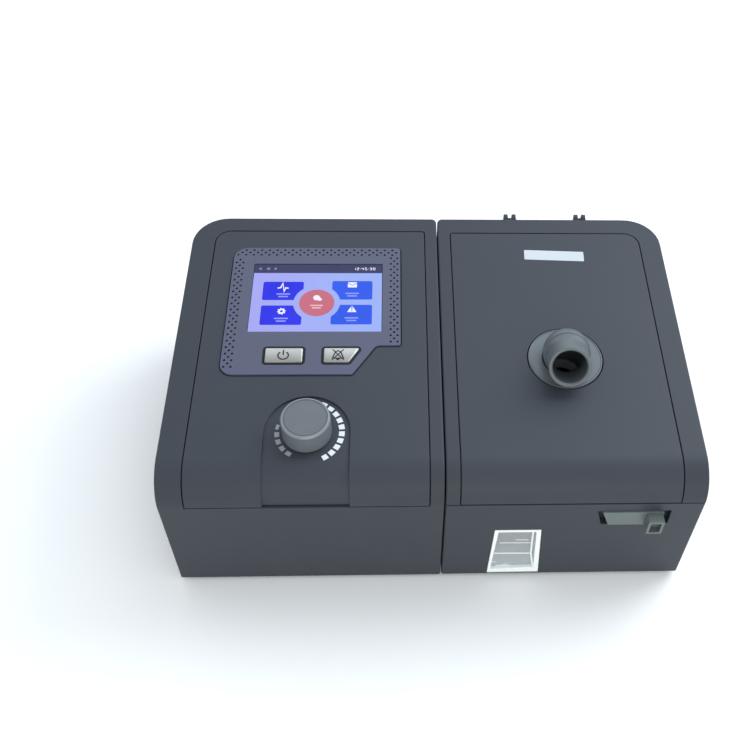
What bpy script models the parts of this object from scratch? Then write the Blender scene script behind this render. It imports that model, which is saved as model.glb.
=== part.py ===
"""A bedside positive-airway-pressure machine: a blower unit docked to a heated humidifier.

Lengths are metres. The case frame has X to the right with 0 at the seam between the two units,
Y from the front wall to the back, and Z up from the shells' bottom edge. An empty moves that
frame so that the model stands on its feet with its origin under the middle of its box.
A second empty lies in the sloping top face: there Z is the height above the face.
"""

import math

import bmesh
import bpy
from mathutils import Vector

# Clearances and modelling values
GAP = 0.0003
SEAM_GAP = 0.0006
OVERRUN = 0.004
ARC_STEP = math.radians(15)
ROUND_SEGMENTS = 28
FINE_SEGMENTS = 40
SMALL_SEGMENTS = 12
SHARP_ANGLE = math.radians(30)

# Both cases
MAIN_WIDTH = 0.142
HUMID_WIDTH = 0.132
DEPTH = 0.185
REAR_HEIGHT = 0.0952
TOP_SLOPE = math.radians(2)
FRONT_RADIUS = 0.019
REAR_CORNER = 0.020
EDGE_BEVEL = 0.0025
SIDE_WALL = 0.0025
TOP_WALL = 0.005
FLOOR = 0.003
LID_HEIGHT = 0.0236

# Inset panels in the sloping tops
PANEL_THICK = 0.003
PANEL_GROOVE = 0.0005
PANEL_CORNER = 0.006
MAIN_PANEL_LEFT = 0.0135
MAIN_PANEL_RIGHT = 0.0078
MAIN_PANEL_REAR = 0.011
LEDGE = 0.006
LEDGE_FRONT = 0.024
LID_PANEL_LEFT = 0.0079
LID_PANEL_RIGHT = 0.013
LID_PANEL_REAR = 0.0121

# Screen and its bezel
SCREEN_LEFT_SHARE = 0.7345
SCREEN_WIDTH_SHARE = 0.5077
SCREEN_FRONT_INSET = 0.005
SCREEN_FRONT_SHARE = 0.5
SCREEN_DEPTH_EXTRA = 0.0125
SCREEN_DEPTH_SHARE = 0.2
BEZEL_MARGIN_LEFT = 0.0128
BEZEL_MARGIN_RIGHT = 0.0105
BEZEL_MARGIN_REAR = 0.014
BEZEL_STEP = 0.010
BEZEL_FRONT = 0.0293
BEZEL_CHAMFER_TOP = 0.0022
BEZEL_CHAMFER_BOTTOM = 0.0153
BEZEL_CORNER = 0.008
BEZEL_SMALL_CORNER = 0.0015
BEZEL_PROUD = 0.0008
BEZEL_SUNK = 0.0007
GLASS_THICK = 0.001
LCD_THICK = 0.0035
LCD_SIDE = 0.002
LCD_FRONT = 0.0055
BRACKET_RIM = 0.005

# Buttons
POWER_LEFT_SHARE = 0.6606
POWER_WIDTH_SHARE = 0.143
SILENCE_LEFT_SHARE = 0.4423
SILENCE_WIDTH_SHARE = 0.138
SILENCE_SLANT_SHARE = 0.0415
BUTTON_DROP = 0.0218
BUTTON_DEPTH = 0.010
BUTTON_CORNER = 0.001
BUTTON_PROUD = 0.0006
BUTTON_FLANGE = 0.001
BUTTON_FLANGE_THICK = 0.001
BUTTON_TRAVEL = 0.0008
SWITCH_SIDE = 0.006

# Knob, encoder and their recess
KNOB_OFFSET = 0.002
KNOB_Y_INSET = 0.0145
KNOB_Y_SHARE = 0.1
RECESS_RADIUS = 0.0212
RECESS_DEPTH = 0.0013
KNOB_RADIUS = 0.0125
KNOB_TAPER = 0.0005
KNOB_HEIGHT = 0.0125
KNOB_CHAMFER = 0.0012
KNOB_DISH = 0.0003
KNOB_DISH_RADIUS = 0.010
KNOB_WALL = 0.0018
KNOB_TOP_WALL = 0.003
KNOB_BOSS = 0.0055
KNOB_TRAVEL = 0.0006
SHAFT_RADIUS = 0.003
ROTOR_WALL = 0.0012
ENCODER_SIDE = 0.013
ENCODER_HEIGHT = 0.0055

# Front circuit board, hung from posts under the control panel
BOARD_DROP = 0.0095
BOARD_THICK = 0.0016
BOARD_MARGIN = 0.009
BOARD_FRONT_REACH = 0.009
BOARD_REAR_MARGIN = 0.019
POST_RADIUS = 0.003
POST_KNOB_REACH = 0.012
POST_REAR_INSET = 0.024
POST_SIDE = 0.0075
BOARD_SCREW_RADIUS = 0.001
BOARD_SCREW_LENGTH = 0.005
BOARD_SCREW_HEAD = 0.002
BOARD_SCREW_HEAD_THICK = 0.0012

# Blower
BLOWER_OFFSET = 0.001
SCROLL_START = 0.028
SCROLL_END = 0.046
SCROLL_TONGUE = math.radians(60)
SCROLL_POINTS = 28
SCROLL_WALL = 0.002
SPOUT_END = -0.022
INLET_EYE = 0.012
MOTOR_RADIUS = 0.022
SHAFT_HOLE = 0.004
MOTOR_SHAFT_RADIUS = 0.002
MOTOR_SHAFT_SINK = 0.006
IMPELLER_RADIUS = 0.0235
IMPELLER_HUB = 0.006
IMPELLER_PLATE = 0.0015
IMPELLER_CLEARANCE = 0.002
BLADE_COUNT = 9
BLADE_THICK = 0.0012
BLADE_INNER = 0.0085
BLADE_SWEEP = math.radians(40)
BLADE_STEPS = 5
MOUNT_HEIGHT = 0.005
MOUNT_WALL = 0.010
MOUNT_LIP = 0.001

# Air port through the seam
PORT_REAR_INSET = 0.047
PORT_DROP = 0.014
PORT_BORE = 0.0089
PORT_WALL = 0.0021

# Main circuit board and power inlet
MAIN_BOARD_INSET = 0.014
MAIN_BOARD_RIGHT = -0.020
MAIN_BOARD_FRONT = 0.012
MAIN_BOARD_DEPTH_SHARE = 0.707
MAIN_POST_HEIGHT = 0.0065
MAIN_POST_RADIUS = 0.003
MAIN_POST_INSET = 0.005
SINK_WIDTH = 0.030
SINK_DEPTH = 0.014
SINK_HEIGHT = 0.020
CAPACITOR_RADIUS = 0.005
CAPACITOR_HEIGHT = 0.016
CONNECTOR_WIDTH = 0.012
CONNECTOR_DEPTH = 0.006
CONNECTOR_HEIGHT = 0.008
INLET_INSET = 0.037
INLET_WIDTH = 0.012
INLET_LENGTH = 0.014
INLET_HEIGHT = 0.011
INLET_PEDESTAL = 0.011
INLET_COLLAR = 0.0048
INLET_BORE = 0.0032
INLET_BORE_DEPTH = 0.010
INLET_COLLAR_SHORT = 0.0005

# Air filter in the left wall
FILTER_FRONT = 0.057
FILTER_LENGTH = 0.052
FILTER_LOW = 0.023
FILTER_DROP = 0.0046
POCKET_DEPTH = 0.013
POCKET_WALL = 0.002
POCKET_LEDGE = 0.004
FILTER_THICK = 0.008
COVER_PROUD = 0.0045
COVER_MARGIN = 0.006
COVER_NOSE = 0.009
COVER_NOSE_THIN = 0.0008
COVER_PLUG = 0.002
COVER_SLOTS = 5
COVER_SLOT_WIDTH = 0.003
COVER_SLOT_MARGIN = 0.008

# Docking tongues
DOCK_TONGUE_WIDTH = 0.012
DOCK_TONGUE_HEIGHT = 0.006
DOCK_TONGUE_LENGTH = 0.0045
DOCK_TONGUE_LOW = 0.014
DOCK_TONGUE_FRONT = 0.040
DOCK_TONGUE_REAR = 0.100

# Feet and base screws
FOOT_HEIGHT = 0.003
FOOT_RADIUS = 0.0065
FOOT_SINK = 0.001
FOOT_INSET_X = 0.024
FOOT_INSET_FRONT = 0.014
FOOT_INSET_REAR = 0.022
SCREW_INSET_X = 0.0085
SCREW_INSET_FRONT = 0.022
SCREW_INSET_REAR = 0.017
SCREW_RADIUS = 0.0014
SCREW_LENGTH = 0.010
SCREW_HEAD = 0.0028
SCREW_HEAD_THICK = 0.0014
BOSS_RADIUS = 0.0035

# Water window in the humidifier's front wall
WINDOW_LEFT = 0.0256
WINDOW_WIDTH = 0.0279
WINDOW_TAPER_LEFT = 0.0017
WINDOW_TAPER_RIGHT = 0.0021
WINDOW_LOW = 0.0015
WINDOW_DROP = 0.0074
WINDOW_PROUD = 0.0006
WINDOW_SKIN = 0.0012
WINDOW_RIM = 0.0025

# Latch on the humidifier's front
LATCH_LEFT = 0.078
LATCH_WIDTH = 0.0374
LATCH_DROP = 0.0192
LATCH_HEIGHT = 0.0125
LATCH_DEPTH = 0.0042
LATCH_BACK = 0.0023
LATCH_FRAME = 0.003
LATCH_TRAVEL = 0.003
LATCH_BAR_LEFT = 0.002
LATCH_BAR_WIDTH = 0.032
LATCH_BAR_SLANT = 0.0045
LATCH_BAR_PROUD = 0.001
TAB_WIDTH = 0.009
TAB_PROUD = 0.0066
TAB_WALL = 0.0014
TAB_HOLLOW = 0.005
NECK_INSET = 0.0093
NECK_WIDTH = 0.008
NECK_LOW = 0.0029
NECK_HEIGHT = 0.0054
CATCH_THICK = 0.002
CATCH_DROP = 0.0026
CATCH_BAR = 0.0022
CATCH_REACH = 0.004
HOOK_CLEAR = 0.0018
HOOK_STEM = 0.0035
HOOK_FOOT = 0.0035
HOOK_THICK = 0.0015
HOOK_BACK = 0.0005
HOOK_FOOT_HEIGHT = 0.0025

# Hinges behind the lid
HINGE_DROP = 0.0037
HINGE_LEFT = 0.0441
HINGE_RIGHT = 0.0864
ARM_RADIUS = 0.0021
ARM_WIDTH = 0.0018
ARM_RIB = 0.016
ARM_DROP = 0.0056
LUG_RADIUS = 0.0023
LUG_WIDTH = 0.0024
PIN_RADIUS = 0.0008
PIN_HEAD = 0.0016
PIN_HEAD_THICK = 0.0006

# Heater and water tub
HEATER_LEFT = 0.024
HEATER_WIDTH = 0.084
HEATER_FRONT = 0.046
HEATER_SHORT = 0.058
HEATER_THICK = 0.002
HEATER_CORNER = 0.010
CARRIER_THICK = 0.003
CARRIER_MARGIN = 0.006
TUB_CLEAR = 0.0062
TUB_FRONT = 0.014
TUB_REAR_INSET = 0.023
TUB_CORNER = 0.010
TUB_WALL = 0.0022
TUB_DROP = 0.0056
TUB_LIP = 0.002
TUB_PLATE_THICK = 0.0015
LINER_THICK = 0.002
LINER_MARGIN = 0.003
LINER_POST = 0.003
LINER_POST_INSET = 0.012
LINER_TUBE = 0.0125
LINER_BORE = 0.010

# Outlet elbow
OUTLET_X = 0.0663
OUTLET_Y = 0.079
OUTLET_TURN = math.radians(-5)
FLANGE_RADIUS = 0.0200
FLANGE_HUB = 0.0157
FLANGE_HUB_LOW = 0.009
COLLAR_RADIUS = 0.0128
COLLAR_SINK = 0.0015
SPIGOT_RADIUS = 0.0113
SPIGOT_LOW = 0.012
SPIGOT_LIP = 0.0009
SPIGOT_LIP_THICK = 0.0015
ELBOW_OUTER = 0.011
ELBOW_BORE = 0.009
ELBOW_BEND = 0.0115
ELBOW_JOINT = 0.0055
ELBOW_LIFT = math.radians(31)
ELBOW_REACH = 0.0228
ELBOW_BEND_STEPS = 8
KNUCKLE_STEPS = 6
SEAL_GROOVE = 0.0009
SEAL_GROOVE_LOW = 0.0068
SEAL_GROOVE_WIDTH = 0.0022

# Places worked out from the sizes
MAIN_LEFT = -MAIN_WIDTH
MAIN_RIGHT = -SEAM_GAP / 2
HUMID_LEFT = SEAM_GAP / 2
HUMID_RIGHT = HUMID_WIDTH
SPLIT_HEIGHT = REAR_HEIGHT - LID_HEIGHT
MAIN_PANEL_LOW = SPLIT_HEIGHT - SEAM_GAP
TUB_TOP = SPLIT_HEIGHT - TUB_DROP
LATCH_LOW = SPLIT_HEIGHT - LATCH_DROP
CATCH_TOP = SPLIT_HEIGHT - CATCH_DROP
WINDOW_HEIGHT = LATCH_LOW - WINDOW_LOW - WINDOW_DROP
HINGE_HEIGHT = REAR_HEIGHT - HINGE_DROP
ARM_LEAVES = SPLIT_HEIGHT - ARM_DROP
ARM_LOW = ARM_LEAVES - ARM_RIB
FILTER_HEIGHT = SPLIT_HEIGHT - FILTER_LOW - FILTER_DROP
PORT_HEIGHT = TUB_TOP - PORT_DROP
PORT_Y = DEPTH - PORT_REAR_INSET
SCREEN_LEFT = MAIN_LEFT * SCREEN_LEFT_SHARE
SCREEN_WIDTH = MAIN_WIDTH * SCREEN_WIDTH_SHARE
SCREEN_FRONT = SCREEN_FRONT_INSET + DEPTH * SCREEN_FRONT_SHARE
SCREEN_DEPTH = SCREEN_DEPTH_EXTRA + DEPTH * SCREEN_DEPTH_SHARE
POWER_LEFT = MAIN_LEFT * POWER_LEFT_SHARE
POWER_WIDTH = MAIN_WIDTH * POWER_WIDTH_SHARE
SILENCE_LEFT = MAIN_LEFT * SILENCE_LEFT_SHARE
SILENCE_WIDTH = MAIN_WIDTH * SILENCE_WIDTH_SHARE
SILENCE_SLANT = MAIN_WIDTH * SILENCE_SLANT_SHARE
BUTTON_FRONT = SCREEN_FRONT - BUTTON_DROP
KNOB_X = MAIN_LEFT / 2 + KNOB_OFFSET
KNOB_Y = KNOB_Y_INSET + DEPTH * KNOB_Y_SHARE
BOARD_FRONT = KNOB_Y - BOARD_FRONT_REACH
POST_FRONT = KNOB_Y + POST_KNOB_REACH
POST_REAR = DEPTH - POST_REAR_INSET
BLOWER_X = MAIN_LEFT / 2 + BLOWER_OFFSET
MAIN_BOARD_LEFT = MAIN_LEFT + MAIN_BOARD_INSET
INLET_X = MAIN_LEFT + INLET_INSET
LID_LOW = SPLIT_HEIGHT + GAP / 2
HUMID_BASE_TOP = SPLIT_HEIGHT - GAP / 2
HINGE_Y = DEPTH + GAP + ARM_RADIUS
POCKET_SINK = PANEL_THICK + GAP
BEZEL_LOW = -BEZEL_SUNK
GLASS_TOP = BEZEL_LOW - GAP
LCD_TOP = GLASS_TOP - GLASS_THICK - GAP
LCD_LOW = LCD_TOP - LCD_THICK
BOARD_TOP = -BOARD_DROP
BOARD_LOW = BOARD_TOP - BOARD_THICK
KNOB_LOW = -RECESS_DEPTH + KNOB_TRAVEL + GAP
BLOWER_Y = PORT_Y - SCROLL_END + PORT_BORE + SCROLL_WALL
BLOWER_FRONT = BLOWER_Y - MOTOR_RADIUS - MOUNT_LIP
MAIN_BOARD_DEPTH = (BLOWER_FRONT - MAIN_BOARD_FRONT) * MAIN_BOARD_DEPTH_SHARE
SCROLL_LOW = PORT_HEIGHT - PORT_BORE - SCROLL_WALL
SCROLL_TOP = PORT_HEIGHT + PORT_BORE + SCROLL_WALL
MOTOR_LOW = FLOOR + GAP + MOUNT_HEIGHT + GAP
MOTOR_TOP = SCROLL_LOW - GAP
MAIN_BOARD_LOW = FLOOR + MAIN_POST_HEIGHT + GAP
HEATER_LOW = FLOOR + GAP + CARRIER_THICK + GAP
TUB_PLATE_LOW = HEATER_LOW + HEATER_THICK + GAP
TUB_LOW = TUB_PLATE_LOW + TUB_PLATE_THICK + GAP
TUB_LEFT = HUMID_LEFT + SIDE_WALL + TUB_CLEAR
TUB_RIGHT = HUMID_RIGHT - SIDE_WALL - TUB_CLEAR
TUB_REAR = DEPTH - TUB_REAR_INSET
HEATER_DEPTH = TUB_REAR - TUB_FRONT - HEATER_SHORT
BAR_LEFT = LATCH_LEFT + LATCH_BAR_LEFT
BAR_RIGHT = BAR_LEFT + LATCH_BAR_WIDTH
BAR_TOP = LATCH_LOW + LATCH_HEIGHT - GAP
BAR_LOW = LATCH_LOW + GAP
NECK_RIGHT = BAR_RIGHT - NECK_INSET
NECK_LEFT = NECK_RIGHT - NECK_WIDTH
LATCH_INNER = LATCH_DEPTH + LATCH_BACK
CATCH_FRONT = LATCH_INNER + GAP
CATCH_LOW = CATCH_TOP - CATCH_BAR
FINGER_RIGHT = NECK_RIGHT + CATCH_REACH
MAIN_SCREWS = [
    (MAIN_LEFT + SCREW_INSET_X, SCREW_INSET_FRONT),
    (-SCREW_INSET_X, SCREW_INSET_FRONT),
    (MAIN_LEFT + SCREW_INSET_X + GAP, DEPTH - SCREW_INSET_REAR),
    (-SCREW_INSET_X, DEPTH - SCREW_INSET_REAR),
]
MAIN_FEET = [
    (x, y)
    for y in (FOOT_INSET_FRONT, DEPTH - FOOT_INSET_REAR)
    for x in (MAIN_LEFT + FOOT_INSET_X, -FOOT_INSET_X)
]
HUMID_FEET = [
    (x, y)
    for y in (FOOT_INSET_FRONT, DEPTH - FOOT_INSET_REAR)
    for x in (FOOT_INSET_X, HUMID_RIGHT - FOOT_INSET_X)
]


def top_height(y):
    """Height of the sloping top face above the case frame's floor at a depth y."""
    return REAR_HEIGHT - (DEPTH - y) * math.tan(TOP_SLOPE)


def front_height(y, depth):
    """Height of the round front's surface, or of one that far under it, at a place y."""
    half = (math.pi / 2 + TOP_SLOPE) / 2
    centre = top_height(0) - FRONT_RADIUS / math.tan(half)
    return centre + math.sqrt((FRONT_RADIUS - depth) ** 2 - (FRONT_RADIUS - y) ** 2)


# Scene and frames

def clear_scene():
    for item in list(bpy.data.objects):
        bpy.data.objects.remove(item, do_unlink=True)


def frame_empty(name, parent=None, location=(0, 0, 0), rotation=(0, 0, 0)):
    empty = bpy.data.objects.new(name, None)
    bpy.context.collection.objects.link(empty)
    empty.parent = parent
    empty.location = location
    empty.rotation_euler = rotation
    return empty


def ride(piece, pivot):
    """Hang a piece, modelled in the frame of the pivot's parent, on the pivot."""
    piece.parent = pivot
    piece.location = -pivot.location
    return piece


# Materials

def material(name, colour, roughness, metallic=0.0, alpha=1.0):
    made = bpy.data.materials.new(name)
    made.use_nodes = True
    shader = made.node_tree.nodes["Principled BSDF"]
    shader.inputs["Base Color"].default_value = (*colour, 1.0)
    shader.inputs["Roughness"].default_value = roughness
    shader.inputs["Metallic"].default_value = metallic
    shader.inputs["Alpha"].default_value = alpha
    return made


# Outlines

def rounded(corners):
    """A closed outline from (u, v, radius) corners, each round corner as an arc."""
    points = []
    for index, (u, v, radius) in enumerate(corners):
        here = Vector((u, v))
        before = Vector(corners[index - 1][:2])
        after = Vector(corners[(index + 1) % len(corners)][:2])
        if radius == 0:
            points.append((u, v))
            continue
        toward = (before - here).normalized()
        away = (after - here).normalized()
        half = toward.angle(away) / 2
        reach = radius / math.tan(half)
        start = here + toward * reach
        end = here + away * reach
        centre = here + (toward + away).normalized() * radius / math.sin(half)
        turn = math.pi - 2 * half
        steps = max(2, math.ceil(turn / ARC_STEP))
        first = start - centre
        sign = 1 if first.cross(end - centre) > 0 else -1
        for step in range(steps + 1):
            angle = sign * turn * step / steps
            cos, sin = math.cos(angle), math.sin(angle)
            points.append((
                centre.x + first.x * cos - first.y * sin,
                centre.y + first.x * sin + first.y * cos,
            ))
    return points


def rectangle(u_low, u_high, v_low, v_high, radius=0):
    return rounded([
        (u_low, v_low, radius),
        (u_high, v_low, radius),
        (u_high, v_high, radius),
        (u_low, v_high, radius),
    ])


def side_corner(front, top):
    """The corner between the front wall and the sloping top, each moved inwards."""
    return (front, top_height(front) - top / math.cos(TOP_SLOPE), FRONT_RADIUS - top)


# Solids

def solid(name, mesh_work, finish, parent, smooth=True):
    """Turn finished bmesh work into an object with its material."""
    bmesh.ops.recalc_face_normals(mesh_work, faces=mesh_work.faces)
    mesh = bpy.data.meshes.new(name)
    mesh_work.to_mesh(mesh)
    mesh_work.free()
    mesh.materials.append(finish)
    if smooth:
        mesh.shade_smooth()
        mesh.set_sharp_from_angle(angle=SHARP_ANGLE)
    made = bpy.data.objects.new(name, mesh)
    bpy.context.collection.objects.link(made)
    made.parent = parent
    return made


def along(axis, u, v, w):
    """A point from two outline coordinates and a distance along the extrusion's axis."""
    if axis == "X":
        return (w, u, v)
    if axis == "Y":
        return (u, w, v)
    return (u, v, w)


def add_prism(work, outline, axis, low, high):
    rings = [[work.verts.new(along(axis, u, v, w)) for u, v in outline] for w in (low, high)]
    work.faces.new(rings[0])
    work.faces.new(rings[1])
    for index in range(len(outline)):
        after = (index + 1) % len(outline)
        work.faces.new((rings[0][index], rings[0][after], rings[1][after], rings[1][index]))


def add_turned(work, profile, segments, centre=(0, 0), axis="Z"):
    """Turn a closed (radius, height) loop; points on the axis are shared."""
    rings = []
    for radius, height in profile:
        if radius == 0:
            rings.append([work.verts.new(along(axis, *centre, height))])
            continue
        rings.append([
            work.verts.new(along(
                axis,
                centre[0] + radius * math.cos(2 * math.pi * step / segments),
                centre[1] + radius * math.sin(2 * math.pi * step / segments),
                height,
            ))
            for step in range(segments)
        ])
    for index, ring in enumerate(rings):
        after = rings[(index + 1) % len(rings)]
        if len(ring) == 1 and len(after) == 1:
            continue
        for step in range(segments):
            beside = (step + 1) % segments
            if len(ring) == 1:
                work.faces.new((ring[0], after[step], after[beside]))
            elif len(after) == 1:
                work.faces.new((ring[step], ring[beside], after[0]))
            else:
                work.faces.new((ring[step], ring[beside], after[beside], after[step]))


def prism(name, outline, axis, low, high, finish, parent):
    work = bmesh.new()
    add_prism(work, outline, axis, low, high)
    return solid(name, work, finish, parent)


def block(name, low, high, finish, parent):
    work = bmesh.new()
    add_prism(work, rectangle(low[0], high[0], low[1], high[1]), "Z", low[2], high[2])
    return solid(name, work, finish, parent)


def turned(name, profile, finish, parent, centre=(0, 0), axis="Z", segments=ROUND_SEGMENTS):
    work = bmesh.new()
    add_turned(work, profile, segments, centre, axis)
    return solid(name, work, finish, parent)


def cylinder_profile(radius, low, high):
    return [(0, low), (radius, low), (radius, high), (0, high)]


def ring_profile(inner, outer, low, high):
    return [(inner, low), (outer, low), (outer, high), (inner, high)]


def cylinders(name, centres, radius, low, high, finish, parent, axis="Z"):
    """Several like cylinders in one cutter or filler; high may be a function of the centre."""
    work = bmesh.new()
    for centre in centres:
        top = high(*centre) if callable(high) else high
        add_turned(work, cylinder_profile(radius, low, top), SMALL_SEGMENTS, centre, axis)
    return solid(name, work, finish, parent)


def swept(name, path, radius, phase, finish, parent):
    """A closed round bar along (point, direction) stations that stay in one Y-Z plane.

    The phase, a share of a segment, keeps its facets off those of a bar around it.
    """
    work = bmesh.new()
    side = Vector((1, 0, 0))
    rings = []
    for point, direction in path:
        up = side.cross(direction)
        rings.append([
            work.verts.new(
                point
                + side * radius * math.cos(2 * math.pi * (step + phase) / ROUND_SEGMENTS)
                + up * radius * math.sin(2 * math.pi * (step + phase) / ROUND_SEGMENTS)
            )
            for step in range(ROUND_SEGMENTS)
        ])
    work.faces.new(rings[0])
    work.faces.new(rings[-1])
    for ring, after in zip(rings, rings[1:]):
        for step in range(ROUND_SEGMENTS):
            beside = (step + 1) % ROUND_SEGMENTS
            work.faces.new((ring[step], ring[beside], after[beside], after[step]))
    return solid(name, work, finish, parent)


def combine(target, tool, operation):
    modifier = target.modifiers.new(f"{operation.lower()} {tool.name}", "BOOLEAN")
    modifier.operation = operation
    modifier.object = tool
    modifier.solver = "EXACT"
    tool.hide_render = True
    tool.display_type = "WIRE"
    return target


def cut(target, tool):
    return combine(target, tool, "DIFFERENCE")


def fuse(target, tool):
    return combine(target, tool, "UNION")


def keep_inside(target, tool):
    return combine(target, tool, "INTERSECT")


def bevel_edges(target, width, segments):
    modifier = target.modifiers.new("rounded edges", "BEVEL")
    modifier.width = width
    modifier.segments = segments
    modifier.limit_method = "ANGLE"
    modifier.angle_limit = SHARP_ANGLE
    modifier.use_clamp_overlap = True


# Case shapes

def case_block(name, left, right, rounded_side, side_wall, top_wall, finish, frame):
    """The body of a case, or its hollow when walls are given: round front, one round rear corner.

    It runs past the floor, so that whoever uses it sets where it ends.
    """
    front = top_wall
    rear = DEPTH - side_wall
    low = -OVERRUN * 2
    body = prism(
        name,
        rounded([
            (rear, low, 0),
            (front, low, 0),
            side_corner(front, top_wall),
            (rear, top_height(rear) - top_wall / math.cos(TOP_SLOPE), 0),
        ]),
        "X",
        left + side_wall,
        right - side_wall,
        finish,
        frame,
    )
    corner = REAR_CORNER - side_wall
    far_left = left + side_wall
    far_right = right - side_wall
    outline = [
        (far_left - (OVERRUN if rounded_side > 0 else 0), -OVERRUN, 0),
        (far_right + (OVERRUN if rounded_side < 0 else 0), -OVERRUN, 0),
        (far_right + (OVERRUN if rounded_side < 0 else 0), rear, corner if rounded_side > 0 else 0),
        (far_left - (OVERRUN if rounded_side > 0 else 0), rear, corner if rounded_side < 0 else 0),
    ]
    grown = [(x, y + (OVERRUN if radius == 0 and y > 0 else 0), radius) for x, y, radius in outline]
    plan = prism(
        name + " rear corner", rounded(grown), "Z", low - OVERRUN, REAR_HEIGHT + OVERRUN, finish, frame
    )
    return keep_inside(body, plan)


def panel_sheet(name, left, right, rear, low, outside, inside, corner, finish, frame):
    """A sheet that follows the top and the round front, between two depths under the face."""
    beyond = rear + OVERRUN

    def face(depth):
        return top_height(beyond) - depth / math.cos(TOP_SLOPE)

    sheet = prism(
        name,
        rounded([
            (beyond, face(outside), 0),
            side_corner(outside, outside),
            (outside, low - FRONT_RADIUS, 0),
            (inside, low - FRONT_RADIUS, 0),
            side_corner(inside, inside),
            (beyond, face(inside), 0),
        ]),
        "X",
        left - OVERRUN,
        right + OVERRUN,
        finish,
        frame,
    )
    plan = prism(
        name + " plan",
        rounded([
            (left, -OVERRUN * 2, 0),
            (right, -OVERRUN * 2, 0),
            (right, rear, corner),
            (left, rear, corner),
        ]),
        "Z",
        low,
        REAR_HEIGHT + OVERRUN,
        finish,
        frame,
    )
    return keep_inside(sheet, plan)


# Main unit: base, housing and the parts fixed to them

def plan_outline(left, right, rounded_side, inset):
    """The case's floor outline, moved in from the outer walls."""
    corner = REAR_CORNER - inset
    return rounded([
        (left + inset, TOP_WALL + GAP, 0),
        (right - inset, TOP_WALL + GAP, 0),
        (right - inset, DEPTH - inset, corner if rounded_side > 0 else 0),
        (left + inset, DEPTH - inset, corner if rounded_side < 0 else 0),
    ])


def main_base(finish, frame):
    base = prism(
        "main_base",
        plan_outline(MAIN_LEFT, MAIN_RIGHT, -1, SIDE_WALL + GAP),
        "Z",
        0,
        FLOOR,
        finish,
        frame,
    )
    posts = cylinders(
        "main board posts",
        [
            (x, y)
            for x in (MAIN_BOARD_LEFT + MAIN_POST_INSET, MAIN_BOARD_RIGHT - MAIN_POST_INSET)
            for y in (
                MAIN_BOARD_FRONT + MAIN_POST_INSET,
                MAIN_BOARD_FRONT + MAIN_BOARD_DEPTH - MAIN_POST_INSET,
            )
        ],
        MAIN_POST_RADIUS,
        FLOOR / 2,
        FLOOR + MAIN_POST_HEIGHT,
        finish,
        frame,
    )
    fuse(base, posts)
    pedestal = block(
        "inlet pedestal",
        (INLET_X - INLET_WIDTH / 2, inlet_rear() - INLET_LENGTH, FLOOR / 2),
        (INLET_X + INLET_WIDTH / 2, inlet_rear(), FLOOR + INLET_PEDESTAL),
        finish,
        frame,
    )
    fuse(base, pedestal)
    ring = turned(
        "blower ring",
        ring_profile(mount_outer() + GAP, mount_outer() + GAP + MOUNT_LIP, FLOOR / 2, FLOOR + MOUNT_LIP * 2),
        finish,
        frame,
        (BLOWER_X, BLOWER_Y),
    )
    fuse(base, ring)
    cut_base_holes(base, MAIN_FEET, finish, frame)
    holes = cylinders("base screw holes", MAIN_SCREWS, SCREW_RADIUS + GAP, -OVERRUN, FLOOR * 2, finish, frame)
    cut(base, holes)
    heads = cylinders(
        "base screw heads", MAIN_SCREWS, SCREW_HEAD + GAP, -OVERRUN, SCREW_HEAD_THICK + GAP, finish, frame
    )
    cut(base, heads)
    return base


def cut_base_holes(base, feet, finish, frame):
    recesses = cylinders(
        base.name + " foot recesses", feet, FOOT_RADIUS + GAP, -OVERRUN, FOOT_SINK, finish, frame
    )
    cut(base, recesses)


def inlet_rear():
    return DEPTH - SIDE_WALL - GAP


def mount_outer():
    return MOTOR_RADIUS + MOUNT_LIP


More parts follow.
